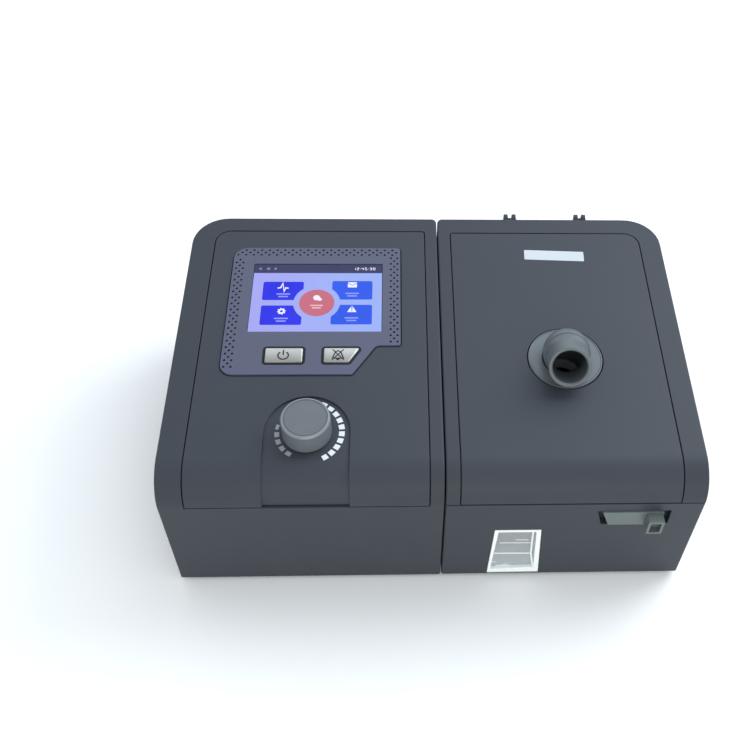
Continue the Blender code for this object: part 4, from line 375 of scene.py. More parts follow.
def rounded_profile(corners):
    """Open profile of (radius, height, rounding) points with an arc at each rounded one."""
    with np.errstate(invalid="ignore"):
        arcs = outline(corners, 0, FILLET_STEPS).reshape(len(corners), -1, 2)
    inner = range(1, len(corners) - 1)
    return np.vstack([
        arc if at in inner and corner[2] else [corner[:2]]
        for at, (arc, corner) in enumerate(zip(arcs, corners))
    ])


def stroke(points, width):
    """A line of even width: each point moved half the width to either side of the mean direction."""
    points = np.array(points, float)
    run = np.diff(points, axis=0)
    run /= np.linalg.norm(run, axis=1, keepdims=True)
    before, after = np.vstack([run[:1], run]), np.vstack([run, run[-1:]])
    mean = before + after
    mean /= np.linalg.norm(mean, axis=1, keepdims=True)
    reach = width / 2 / np.maximum((mean * after).sum(1), 0.4)
    side = np.stack([-mean[:, 1], mean[:, 0]], 1) * reach[:, None]
    return np.vstack([points + side, (points - side)[::-1]])


def combine(piece, tool, operation="DIFFERENCE"):
    """Cut a closed tool out of a closed piece, or join it on, and throw the tool away."""
    step = piece.modifiers.new("combine", "BOOLEAN")
    step.operation = operation
    step.solver = "EXACT"
    step.object = tool
    graph = bpy.context.evaluated_depsgraph_get()
    mesh = bpy.data.meshes.new_from_object(piece.evaluated_get(graph))
    piece.modifiers.clear()
    old = piece.data
    piece.data = mesh
    mesh.name = piece.name
    bpy.data.meshes.remove(old)
    bpy.data.meshes.remove(tool.data)
    weld(mesh, CUT_WELD, new=False)
    return piece


def cut(piece, name, loop, low, high, lay=on_skin):
    combine(piece, prism(name, loop, low, high, lay))


def join(piece, name, loop, low, high, lay=on_skin):
    combine(piece, prism(name, loop, low, high, lay), "UNION")


def paint(mesh, finish):
    mesh.materials.clear()
    mesh.materials.append(finishes()[finish])


def dress(piece, finish, body, replaced=(), rounding=None, limit=38, segments=2):
    """Finish, small rounding, shading and the frame's bookkeeping for one piece."""
    mesh = piece.data
    paint(mesh, finish)
    mesh.shade_smooth()
    radius = sizes().small_round if rounding is None else rounding * MM
    if radius > 0:
        bevel = piece.modifiers.new("rounding", "BEVEL")
        bevel.width = radius
        bevel.segments = segments
        bevel.limit_method = "ANGLE"
        bevel.angle_limit = math.radians(limit)
        bevel.use_clamp_overlap = False
        bevel.miter_outer = "MITER_ARC"
    else:
        mesh.set_sharp_from_angle(angle=math.radians(limit))
    shading = piece.modifiers.new("shading", "WEIGHTED_NORMAL")
    shading.keep_sharp = True
    shading.weight = 60
    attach(piece, body)
    if replaced:
        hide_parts(*replaced)
    return piece


# Finishes

class Value:
    """A number that varies over a surface. Its arithmetic adds Math nodes."""

    def __init__(self, finish, socket):
        self.finish = finish
        self.socket = socket

    def math(self, operation, first, second):
        node = self.finish.add("ShaderNodeMath", {"operation": operation}, {0: first, 1: second})
        return Value(self.finish, node.outputs[0])

    def before(self, operation, other):
        return self.math(operation, self, other)

    __add__ = __radd__ = partialmethod(before, "ADD")
    __mul__ = __rmul__ = partialmethod(before, "MULTIPLY")
    __sub__ = partialmethod(before, "SUBTRACT")

    def __rsub__(self, other):
        return self.math("SUBTRACT", other, self)

    def ramp(self, low, high):
        """0 below low, 1 above high, smooth between."""
        node = self.finish.add(
            "ShaderNodeMapRange",
            {"interpolation_type": "SMOOTHSTEP"},
            {"Value": self, "From Min": low, "From Max": high},
        )
        return Value(self.finish, node.outputs[0])


class Finish:
    """One material: constants on the shader's own sockets, and varying values linked to it."""

    def __init__(self, name, constants):
        self.material = bpy.data.materials.new(name)
        self.material.use_nodes = True
        self.tree = self.material.node_tree
        self.shader = self.tree.nodes["Principled BSDF"]
        for socket, value in constants.items():
            self.shader.inputs[socket].default_value = value
        self.place = self.add("ShaderNodeTexCoord").outputs["Object"]

    def add(self, kind, settings=None, inputs=None):
        """Any node: its type, then its settings, then the values or links of its sockets."""
        node = self.tree.nodes.new(kind)
        for name, value in (settings or {}).items():
            setattr(node, name, value)
        for socket, value in (inputs or {}).items():
            self.feed(node.inputs[socket], value)
        return node

    def feed(self, socket, value):
        source = value.socket if isinstance(value, Value) else value
        if isinstance(source, bpy.types.NodeSocket):
            self.tree.links.new(source, socket)
        else:
            socket.default_value = source

    def stretched(self, scale):
        """Object coordinates scaled by three numbers, for brushed or drawn patterns."""
        return self.add("ShaderNodeMapping", None, {"Vector": self.place, "Scale": scale}).outputs[0]

    def noise(self, scale, detail=2.0, rough=0.5, place=None):
        inputs = {"Vector": place or self.place, "Scale": scale, "Detail": detail, "Roughness": rough}
        return Value(self, self.add("ShaderNodeTexNoise", None, inputs).outputs[0])

    def cells(self, scale, feature="F1"):
        inputs = {"Vector": self.place, "Scale": scale}
        return Value(self, self.add("ShaderNodeTexVoronoi", {"feature": feature}, inputs).outputs[0])

    def along(self, axis):
        """One object coordinate, in metres."""
        node = self.add("ShaderNodeSeparateXYZ", None, {"Vector": self.place})
        return Value(self, node.outputs[axis])

    def blend(self, share, first, second):
        """Colour between two, as a socket."""
        four = [c if isinstance(c, bpy.types.NodeSocket) else (*c, 1.0) for c in (first, second)]
        node = self.add("ShaderNodeMix", {"data_type": "RGBA"}, {0: share, 6: four[0], 7: four[1]})
        return node.outputs[2]

    def tones(self, share, colour, low, high):
        """Colour between two shades of one colour."""
        return self.blend(share, shade(colour, low), shade(colour, high))

    def set(self, **values):
        """Link varying values to the shader's sockets, which start with a capital; glow and
        colour have other names there."""
        names = {"colour": "Base Color", "glow": "Emission Color"}
        for name, value in values.items():
            self.feed(self.shader.inputs[names.get(name, name.capitalize())], value)

    def bump(self, height, depth_m, strength=1.0):
        inputs = {"Height": height, "Distance": depth_m, "Strength": strength}
        node = self.add("ShaderNodeBump", None, inputs)
        self.tree.links.new(node.outputs[0], self.shader.inputs["Normal"])
        return self


def shade(colour, factor):
    return tuple(min(1.0, channel * factor) for channel in colour)


def moulded(name, colour, rough=0.52, grain=0.35, depth=0.010):
    """Spark-eroded plastic: fine grain as bump, a faint cloudiness of colour, rubbed patches that
    are a little smoother, and a few hair scratches."""
    made = Finish(name, {"IOR": 1.47, "Specular IOR Level": 0.28})
    cloud = made.noise(30.0, 3.0, 0.6)
    patch = made.noise(150.0, 3.0, 0.55)
    fine = made.noise(1.0 / (grain * MM), 2.0, 0.6)
    speck = made.noise(2.6 / (grain * MM), 1.0)
    scratch = made.noise(240.0, 2.0, 0.6, made.stretched((1.0, 14.0, 5.0))).ramp(0.66, 0.72)
    tone = cloud * 0.4 + patch * 0.2 + fine * 0.4
    made.set(
        colour=made.tones(tone.ramp(0.3, 0.7), colour, 0.97, 1.03),
        roughness=rough + (patch - 0.5) * 0.06 + (fine - 0.5) * 0.10 - cloud.ramp(0.55, 0.75) * 0.02
        + scratch * 0.03,
    )
    return made.bump(fine * 0.65 + speck * 0.35 - scratch * 0.15, depth * MM, 0.9).material


def satin(name, colour, rough=0.32, metallic=0.0, depth=0.004, gloss=0.45):
    """Smooth plastic or metallised paint: very fine orange-peel and soft smudges in the gloss."""
    made = Finish(name, {"IOR": 1.48, "Metallic": metallic, "Specular IOR Level": gloss})
    peel = made.noise(1400.0, 2.0, 0.6)
    smudge = made.noise(90.0, 4.0, 0.65)
    made.set(
        colour=made.tones(smudge.ramp(0.3, 0.75), colour, 0.96, 1.04),
        roughness=rough + (smudge - 0.5) * 0.08 + (peel - 0.5) * 0.08,
    )
    return made.bump(peel, depth * MM, 0.7).material


def key_metal_with_painted_sheen(name, colour, low_y, high_y):
    """Vapour-plated key, with a painted highlight at its rear edge that fades into painted shade
    towards the front, and fine drawn lines and finger marks in the gloss."""
    made = Finish(name, {"Metallic": 0.55, "IOR": 1.5, "Specular IOR Level": 0.5})
    # Painted highlight and shade: the colour is lighter towards the key's rear edge and darker towards its
    # front
    up = made.along(1).ramp(low_y, high_y)
    line = made.noise(420.0, 3.0, 0.6, made.stretched((1.0, 16.0, 1.0)))
    mark = made.noise(190.0, 3.0, 0.6)
    share = up * 0.6 + line * 0.2 + mark * 0.2
    made.set(
        colour=made.tones(share, colour, 0.36, 1.14),
        roughness=0.30 + (line - 0.5) * 0.12 + (mark - 0.5) * 0.1,
    )
    return made.bump(line, 0.002 * MM, 0.6).material


def brushed(name, colour, rough=0.34, along=(1.0, 30.0, 30.0)):
    """Drawn metal: noise stretched along one direction drives gloss, colour and bump."""
    made = Finish(name, {"Metallic": 1.0})
    line = made.noise(160.0, 4.0, 0.7, made.stretched(along))
    stain = made.noise(60.0, 3.0, 0.6)
    made.set(
        colour=made.tones(line * 0.6 + stain * 0.4, colour, 0.82, 1.1),
        roughness=rough + (line - 0.5) * 0.22 + (stain - 0.5) * 0.1,
    )
    return made.bump(line, 0.006 * MM, 0.6).material


def rubbery(name, colour):
    """Rubber: matt, with bloom that greys it in patches and a coarse soft grain."""
    made = Finish(name, {"IOR": 1.5, "Sheen Weight": 0.12})
    bloom = made.noise(120.0, 4.0, 0.6)
    grain = made.noise(2200.0, 2.0)
    made.set(
        colour=made.blend(bloom.ramp(0.4, 0.8), colour, shade(colour, 1.6)),
        roughness=0.74 + (bloom - 0.5) * 0.16 + (grain - 0.5) * 0.1,
    )
    return made.bump(grain * 0.8 + bloom * 0.2, 0.014 * MM, 0.8).material


def clear_plastic(name, colour, rough=0.06, through=0.9):
    """Clear moulding: faint flow lines and scuffs over a see-through body."""
    made = Finish(name, {"IOR": 1.49, "Transmission Weight": through})
    flow = made.noise(70.0, 3.0, 0.6)
    scuff = made.noise(700.0, 3.0, 0.7).ramp(0.58, 0.75)
    made.set(
        colour=made.tones(flow, colour, 0.96, 1.03),
        roughness=rough + scuff * 0.12 + flow * 0.03,
    )
    return made.bump(flow, 0.03 * MM, 0.5).material


def foam(name, colour):
    """Open-cell foam: cell walls stand out as bump, and the pores between them are darkened as painted
    shade.
    """
    made = Finish(name, {"Sheen Weight": 0.2})
    cell = made.cells(900.0)
    dust = made.noise(80.0, 4.0, 0.6)
    # Painted shade: the pores are darker than the cell walls
    made.set(
        colour=made.blend(cell.ramp(0.1, 0.6), shade(colour, 0.4), colour),
        roughness=0.9 - dust * 0.1,
    )
    return made.bump(cell, 0.5 * MM, 1.0).material


def circuit_board(name):
    """Solder mask: tracks as thin cell borders, pads as small dots, laminate weave beneath."""
    made = Finish(name, {"IOR": 1.5, "Coat Weight": 0.4})
    track = made.cells(260.0, "DISTANCE_TO_EDGE").ramp(0.03, 0.06)
    pad = made.cells(420.0).ramp(0.16, 0.2)
    weave = made.noise(1900.0, 1.0)
    green = made.blend(track, linear("2f7a4a"), linear("1c5232"))
    made.set(
        colour=made.blend(pad, linear("c9b26a"), green),
        metallic=(1 - pad) * 0.8,
        roughness=0.34 + weave * 0.14,
    )
    return made.bump((1 - track) * 0.6 + weave * 0.2, 0.02 * MM, 0.8).material


def lit(name, colour, variety=0.04, far_colour=None, left_x=0.0, right_x=1.0):
    """A lit part of the screen: its glow drifts a little, runs from one colour to another across
    the screen, and shows the fine pixel grid."""
    made = Finish(name, {"Emission Strength": 1.0, "Specular IOR Level": 0.15})
    drift = made.noise(40.0, 2.0, 0.5)
    grid = made.add("ShaderNodeTexChecker", None, {"Vector": made.place, "Scale": 9000.0})
    share = drift + Value(made, grid.outputs[1]) * 0.1
    across = made.along(0).ramp(left_x, right_x)
    far = far_colour or colour
    body = made.blend(across, colour, far)
    dim = made.blend(across, shade(colour, 1 - 2 * variety), shade(far, 1 - 2 * variety))
    made.set(
        glow=made.blend(share, dim, body),
        colour=made.blend(share, (0.01, 0.01, 0.02), (0.02, 0.02, 0.03)),
        roughness=0.16 + drift * 0.06,
    )
    return made.material


def water_block(name, low_z, high_z):
    """Clear block with water behind it: grey-green air at the top, milky blue water low down, with
    painted cloudy reflections and painted glints that are drawn out sideways."""
    made = Finish(name, {"IOR": 1.45, "Coat Weight": 1.0, "Coat Roughness": 0.04})
    up = made.along(2).ramp(low_z, high_z)
    drawn = made.noise(90.0, 3.0, 0.6, made.stretched((0.5, 1.0, 1.6)))
    # Painted reflections: pale glints and cloudy streaks drawn into the water's colour
    painted_glint = made.noise(130.0, 2.0, 0.5, made.stretched((0.6, 1.0, 1.5))).ramp(0.6, 0.72) * (1 - up)
    base = made.blend(up, linear("7f8992"), linear("4a5150"))
    made.set(
        colour=made.blend(painted_glint, made.blend(drawn * 0.35, base, linear("666f6f")), linear("d6e0e6")),
        roughness=0.32 - painted_glint * 0.15 + drawn * 0.1,
    )
    return made.bump(drawn, 0.2 * MM, 0.6).material


def clear_skin(name, cover):
    """A thin clear face: almost see-through, with its gloss and a few scuffs."""
    made = Finish(name, {"IOR": 1.49, "Base Color": (0.92, 0.95, 0.96, 1.0)})
    scuff = made.noise(420.0, 3.0, 0.7).ramp(0.56, 0.76)
    made.set(alpha=cover + scuff * 0.10, roughness=0.05 + scuff * 0.2)
    return made.bump(scuff, 0.01 * MM, 0.4).material


FINISHES = {}


def finishes():
    """All finishes, made once and kept by name."""
    if FINISHES:
        return FINISHES
    tint = {name: tuple(getattr(colours(), name)) for name in MachineColours.__annotations__}
    case_x, case_y, case_z = (CASE_ORIGIN / MM).tolist()
    screen_ends = [(x + case_x) * MM for x in SCREEN[:2]]
    key_ends = [(y + case_y) * MM for y in KEY_ENDS]
    FINISHES.update({
        "shell": moulded("grained_shell", tint["shell"]),
        "panel": moulded("grained_panel", tint["panel"], 0.50, 0.3, 0.007),
        "dark": moulded("dark_base_plastic", linear("25282c"), 0.55, 0.4, 0.012),
        "black": moulded("black_plastic", linear("121315"), 0.45, 0.3, 0.006),
        "bezel": moulded("bezel_plastic", tint["bezel"], 0.42, 0.28, 0.006),
        # Keys in metallised silver, with painted highlight and shade running from rear to front
        "silver": key_metal_with_painted_sheen("metallised_key_painted_sheen", tint["silver"], *key_ends),
        "knob": satin("satin_knob", tint["knob"], 0.45, 0.0, 0.003, 0.3),
        # Painted highlight: the knob's chamfer in a lighter satin than the knob
        "knob_highlight_edge": satin("bright_knob_edge", tint["knob_highlight_edge"], 0.36, 0.2, 0.002),
        "outlet": satin("outlet_plastic", tint["outlet"], 0.36, 0.0, 0.004),
        "latch": satin("latch_plastic", tint["latch"], 0.42, 0.0, 0.005, 0.35),
        "clear": clear_skin("clear_face", 0.10),
        # White standing in for light caught in clear plastic: a painted highlight on the window's ribs
        "rib": moulded("clear_edge_painted_highlight", linear("eef1f1"), 0.3, 0.5, 0.004),
        "water_view": water_block("water_block", (6.0 + case_z) * MM, (40.0 + case_z) * MM),
        "water": clear_plastic("frosted_clear", (0.86, 0.90, 0.91), 0.22, 0.75),
        "rubber": rubbery("black_rubber", linear("141517")),
        "grey_rubber": rubbery("grey_silicone", linear("8d9194")),
        "foam": foam("filter_foam", linear("8f979b")),
        "board": circuit_board("solder_mask"),
        "volute": moulded("white_duct_plastic", linear("c9cccb"), 0.42, 0.3, 0.005),
        "white": moulded("white_moulding", linear("dfe1df"), 0.38, 0.3, 0.004),
        "steel": brushed("drawn_steel", linear("b9bcbf")),
        "heater": brushed("heater_plate", linear("c7c9c8"), 0.28, (30.0, 1.0, 30.0)),
        "brass": brushed("turned_brass", linear("c9a55c"), 0.3, (1.0, 1.0, 40.0)),
        "print": moulded("white_print", linear("d4d8da"), 0.5, 0.2, 0.002),
        # White print darkened to grey: a painted shadow over the knob's left dashes
        "shadowed_print": moulded("shadowed_print", linear("8b8f96"), 0.5, 0.2, 0.002),
        "dark_print": moulded("dark_print", linear("2b2a26"), 0.5, 0.2, 0.002),
        "label": moulded("paper_label", tint["label"], 0.55, 0.25, 0.003),
        "glow": lit("screen_background", tint["glow"], 0.02, linear("9cb2f6"), *screen_ends),
        "status": lit("status_bar", tint["status"]),
        "tile_left": lit("left_tile", tint["tile_left"], 0.06),
        "tile_right": lit("right_tile", tint["tile_right"], 0.06),
        "start": lit("round_tile", tint["start"], 0.03),
        "lit_white": lit("screen_white", linear("f4f5ff"), 0.02),
        "lit_pale": lit("screen_pale", linear("8e9af6"), 0.02),
        "lit_rose": lit("screen_rose", linear("f4bcc4"), 0.02),
        "lit_dim": lit("screen_dim", linear("7a7ea6"), 0.02),
    })
    return FINISHES


# Shells

def edge_path(left, right, rear, left_r, right_r, rows, drop):
    """The case's sharp upper edge, from the front up the left side, round the rear and down the
    right: its points, the skin's normal and the wall's normal at each."""
    steps = np.linspace(0, 1, CORNER_STEPS)
    turns = np.concatenate([math.pi - steps * math.pi / 2, (1 - steps) * math.pi / 2])
    radius = np.repeat([left_r, right_r], CORNER_STEPS)
    middle = np.repeat([left + left_r, right - right_r], CORNER_STEPS)
    corner_x, corner_y = middle + radius * np.cos(turns), rear - radius + radius * np.sin(turns)
    corner_z = FRONT_TOP + corner_y * math.tan(SLOPE) - drop[1] / math.cos(SLOPE)
    sides = -np.interp(rows, [ARC_START, ARC_END], drop)
    up, down = skin(left, rows, sides), skin(right, rows, sides)[::-1]
    edge = np.vstack([up, np.column_stack([corner_x, corner_y, corner_z]), down])
    wall = np.column_stack([unit(turns), np.zeros_like(turns)])
    wall = np.vstack([np.tile([-1.0, 0, 0], (len(rows), 1)), wall, np.tile([1.0, 0, 0], (len(rows), 1))])
    top = np.tile(skin_normal(DEPTH), (len(turns), 1))
    face = np.vstack([skin_normal(rows), top, skin_normal(rows)[::-1]])
    return edge, face, wall


def add_skin(patches, left, right, rear, left_r, right_r, low, fillet, drop):
    """One skin of a case that is open underneath. The fillet is C + r times a direction that
    swings from the skin's normal to the wall's, with C = E - r (A + B) / (1 + A.B). Returns the
    closed loop of its bottom edge."""
    rows = front_rows(low, -drop[0])
    edge, face, wall = edge_path(left, right, rear, left_r, right_r, rows, drop)
    edge[:, 1] = np.maximum(edge[:, 1], 0)
    between = (face * wall).sum(1, keepdims=True)
    centre = edge - fillet * (face + wall) / (1 + between)
    swing = np.arccos(between)[None]
    share = np.linspace(0, 1, FILLET_STEPS + 1)[:, None, None]
    aim = (np.sin((1 - share) * swing) * face + np.sin(share * swing) * wall) / np.sin(swing)
    rings = centre[None] + fillet * aim
    rings[..., 2] = np.maximum(rings[..., 2], low)
    patches.grid(rings)
    count = len(rows)
    inner = rings[0]
    patches.grid(np.stack([inner[:count], inner[-count:][::-1]], 1))
    patches.face(inner[count - 1:len(inner) - count + 1])
    first = 1 if low < CENTRE_Z else 0
    crown = rings[-1, first:len(inner) - first]
    middle, bottom = crown.copy(), crown.copy()
    middle[:, 2] = np.minimum(crown[:, 2], max(CENTRE_Z, low))
    bottom[:, 2] = low
    patches.grid(np.stack([crown, middle, bottom]))
    loop = np.vstack([rings[:, 0], bottom, rings[::-1, -1]])
    loop[:, 2] = low
    return loop


def case_shell(name, left, right, left_r, right_r, low):
    """A thick case, open underneath: an outer skin, an inner one and the rim between them."""
    patches = Patches()
    fillet = sizes().edge_fillet / MM
    outer = add_skin(patches, left, right, DEPTH, left_r, right_r, low, fillet, (0, 0))
    inner = add_skin(
        patches, left + SIDE_WALL, right - SIDE_WALL, DEPTH - SIDE_WALL,
        max(left_r - SIDE_WALL, INNER_CORNER), max(right_r - SIDE_WALL, INNER_CORNER), low,
        INNER_FILLET, (SIDE_WALL, TOP_WALL),
    )
    patches.grid(np.stack([outer, inner]), round_v=True)
    return patches.build(name)


def panel_outline(left, right, rear, low_s, left_r, right_r, grow=0.0):
    return outline([
        (left - grow, low_s, SHARP), (right + grow, low_s, SHARP),
        (right + grow, rear + grow, right_r + grow), (left - grow, rear + grow, left_r + grow),
    ], 0, CORNER_STEPS)


# Places and outlines, with a radius after each corner's two coordinates

MAIN_LEFT = -MAIN_WIDTH
PANEL_THICK = 3.0
POCKET = 3.3
MAIN_PANEL = {"left": -128.5, "right": -7.8, "rear": 174.0, "left_r": 8.8, "right_r": 1.3}
LID_PANEL = {"left": 7.9, "right": 119.0, "rear": 172.9, "left_r": 1.3, "right_r": 8.8}
SCREEN = (-104.3, -32.2, 97.5, 147.0)
SCREEN_HOLE = (-107, -29.6, 91.5, 149.5, 1.0)
SOCKET = (-105.0, 19.8)
SOCKET_R = 5.1
BEZEL = [
    (-116.6, 68.2, 7.0), (-47.4, 68.2, 1.5), (-34.9, 87.6, 3.5), (-21.8, 87.6, 1.2),
    (-21.8, 159.8, 1.8), (-116.6, 159.8, 8.0),
]
CORNER_REACH = 6.5
HOLE_SPACING = 2.3
KNOB = (-69.0, 33.0)
SHAFT_HOLE_R = 4.9
RECESS_R = 21.6
RECESS_DEPTH = 1.3
RECESS_LOW = 64.0
OUTLET = (66.3, 79.0)
OUTLET_HOLE_R = 16.0
FLANGE_SEAT_R = 20.5
PORT = (138.0, 52.0)
PORT_HOLE_R = 11.3
KEY_ENDS = KEY_FRONT, KEY_REAR = 75.7, 85.7
KEY_TOP = 1.5


def key_outline(left, front_right, rear_right):
    return [(left, KEY_FRONT, 1.0), (front_right, KEY_FRONT, 1.0),
            (rear_right, KEY_REAR, 1.0), (left, KEY_REAR, 1.0)]


POWER_KEY = key_outline(-93.8, -73.5, -73.5)
SILENCE_KEY = key_outline(-62.8, -49.1, -43.2)


def recess_outline():
    """A slot with a half-round rear end, open to the front."""
    arc = KNOB + RECESS_R * unit(np.linspace(0, math.pi, 33))
    low = skin_place(RECESS_LOW)
    return np.vstack([[(KNOB[0] - RECESS_R, low), (KNOB[0] + RECESS_R, low)], arc])


def cut_key_holes(piece, room):
    for key in (POWER_KEY, SILENCE_KEY):
        cut(piece, "key hole", outline(key, -room), DEEP, PAST)


# Blower unit

class AIRWAY_OT_housing(bpy.types.Operator):
    """Blower unit's housing, with the panel's pocket, the filter's pocket and the power socket's hole"""

    bl_idname = "airway.housing"
    bl_label = "Blower housing"

    def execute(self, context):
        gap = sizes().panel_gap / MM
        shell = case_shell("blower_housing", MAIN_LEFT, -SEAM, REAR_R, SEAM_CORNER, 0.0)
        low = skin_place(BASE_TOP) - gap
        combine(shell, slab("pocket", panel_outline(**MAIN_PANEL, low_s=low, grow=gap), -POCKET, PAST))
        hole = box_outline(-122.5, -13.8, 24.0, 168.0, 3.0)
        cut(shell, "opening", hole, DEEP, -POCKET + 1)
        walls = box_outline(55, 111, 21, 69, 0.5)
        join(shell, "filter walls", walls, MAIN_LEFT + 0.6, -127.0, facing_side)
        cut(shell, "filter room", box_outline(57, 109, 23, 67, 1.0), -150, -129.0, facing_side)
        cut(shell, "filter exit", box_outline(61, 105, 27, 63, 2.0), -140, -120, facing_side)
        cut(shell, "socket hole", circle(*SOCKET, SOCKET_R, 40), DEPTH - 5, DEPTH + 5, facing_front)
        cut(shell, "air port", circle(*PORT, PORT_HOLE_R, 40), -6, 4, facing_side)
        dress(shell, "shell", "case", ["main_housing"])
        return {"FINISHED"}


class AIRWAY_OT_control_panel(bpy.types.Operator):
    """Inset panel that follows the front's arc, with the knob's recess and the bezel's seat"""

    bl_idname = "airway.control_panel"
    bl_label = "Control panel"

    def execute(self, context):
        loop = panel_outline(**MAIN_PANEL, low_s=skin_place(BASE_TOP))
        panel = slab("control_sheet", loop, -PANEL_THICK, 0)
        combine(panel, slab("recess", recess_outline(), -RECESS_DEPTH, PAST))
        cut(panel, "bezel seat", outline(BEZEL, -0.45), -1.2, 2)
        cut(panel, "screen hole", box_outline(*SCREEN_HOLE), DEEP, PAST)
        cut(panel, "shaft hole", circle(*KNOB, SHAFT_HOLE_R, 32), DEEP, PAST)
        cut_key_holes(panel, 1.3)
        dress(panel, "panel", "case", ["control_panel"], 0.35, segments=3)
        return {"FINISHED"}


def hole_places():
    """Three staggered rows of holes along the bezel's rear, left and right borders, without those
    outside its round left corners or too close to an earlier one."""
    pitch, row_gap = sizes().hole_pitch / MM, sizes().hole_row / MM
    left, right, rear = BEZEL[0][0] + 1.9, BEZEL[4][0] - 1.7, BEZEL[4][1] - 1.8
    side_end = rear - 2.5 * row_gap

    def rows(first, last):
        """Places along a border and how far in each stands, with every second row half a pitch on."""
        along, row = np.meshgrid(np.arange(first, last, pitch), np.arange(3))
        return (along + pitch / 2 * (row % 2)).ravel(), row_gap * row.ravel()

    back, back_in = rows(left + 0.3, right + 0.4)
    west, west_in = rows(73.4, side_end)
    east, east_in = rows(90.2, side_end)
    x = np.concatenate([back, left + west_in, right - east_in])
    y = np.concatenate([rear - back_in, west, east])
    corner_x, front_y, rear_y = BEZEL[0][0] + 8.0, BEZEL[0][1] + 7.0, rear - 6.2
    from_corner = np.hypot(x - corner_x, y - np.clip(y, front_y, rear_y))
    keep = ((x >= corner_x) | (from_corner <= CORNER_REACH)) & (x < right + 0.5)
    places = np.stack([x, y], 1)[keep]
    gap = np.hypot(*(places[:, None] - places[None]).transpose(2, 0, 1))
    clash = np.tril(gap < HOLE_SPACING, -1).any(1)
    return places[~clash]


class AIRWAY_OT_bezel(bpy.types.Operator):
    """Raised plate round the screen and keys, with its perforated border and the dark sheet below,
    which is painted shade seen down the holes
    """

    bl_idname = "airway.bezel"
    bl_label = "Screen bezel"

    def execute(self, context):
        left, right, front, rear = SCREEN
        plate = prism("bezel_plate", outline(BEZEL, 0, 8), -0.7, 0.8)
        hole = box_outline(left - 0.3, right + 0.3, front - 0.3, rear + 0.3, 0.4)
        cut(plate, "screen hole", hole, -PAST, PAST)
        cut_key_holes(plate, 1.1)
        ring = circle(0, 0, sizes().hole / MM / 2, 12)
        pits = Patches()
        for place in hole_places():
            pits.prism(place + ring, -1.1, 1.4)
        combine(plate, pits.build("border holes"))
        dress(plate, "bezel", "case", ["screen_bezel"], 0.14)
        # Painted shade: a black sheet under the plate, seen at the bottom of the border's holes
        shade_backing = prism("bezel_backing", outline(BEZEL, 0.6), -1.15, -0.75)
        cut(shade_backing, "screen hole", box_outline(*SCREEN_HOLE), -PAST, PAST)
        cut_key_holes(shade_backing, 1.2)
        dress(shade_backing, "black", "case", rounding=0)
        return {"FINISHED"}


def cut_tile(left, right, front, rear, centre, radius):
    """A rectangle whose points inside a circle are moved out onto it: c + R (p - c) / |p - c|."""
    share = np.linspace(0, 1, 33)[:-1]
    corners = box_outline(left, right, front, rear, 0.9, 0, 3)
    after = np.roll(corners, -1, 0)
    loop = (corners[:, None] + (after - corners)[:, None] * share[None, :, None]).reshape(-1, 2)
    away = loop - np.array(centre)
    distance = np.linalg.norm(away, axis=1, keepdims=True)
    return np.where(distance < radius, np.array(centre) + away / distance * radius, loop)


def bar_outline(x, y, wide, tall):
    return box_outline(x - wide / 2, x + wide / 2, y - tall / 2, y + tall / 2, 0.3)


def mark(name, loop, level, finish, body, slot, thick=None):
    """A thin flat mark that lies on the skin at a level."""
    thick = sizes().mark_height / MM if thick is None else thick
    piece = prism(name, loop, level, level + thick)
    return dress(piece, finish, body, rounding=0)


SCREEN_LEVEL = 0.25
SIGN_THICK = 0.03
TILES = {
    "tile_top_left": (-98.4, -75.9, 120.2, 133.8, "tile_left"),
    "tile_low_left": (-98.4, -75.9, 102.3, 116.2, "tile_left"),
    "tile_top_right": (-60.0, -37.5, 120.6, 134.4, "tile_right"),
    "tile_low_right": (-60.0, -37.5, 102.6, 116.7, "tile_right"),
}
START_TILE = (-68.1, 118.2)
START_R = 9.7
CUT_R = 12.9
SEGMENTS = {"0": "abcdef", "1": "bc", "2": "abged", "3": "abgcd", "4": "fgbc", "5": "afgcd"}


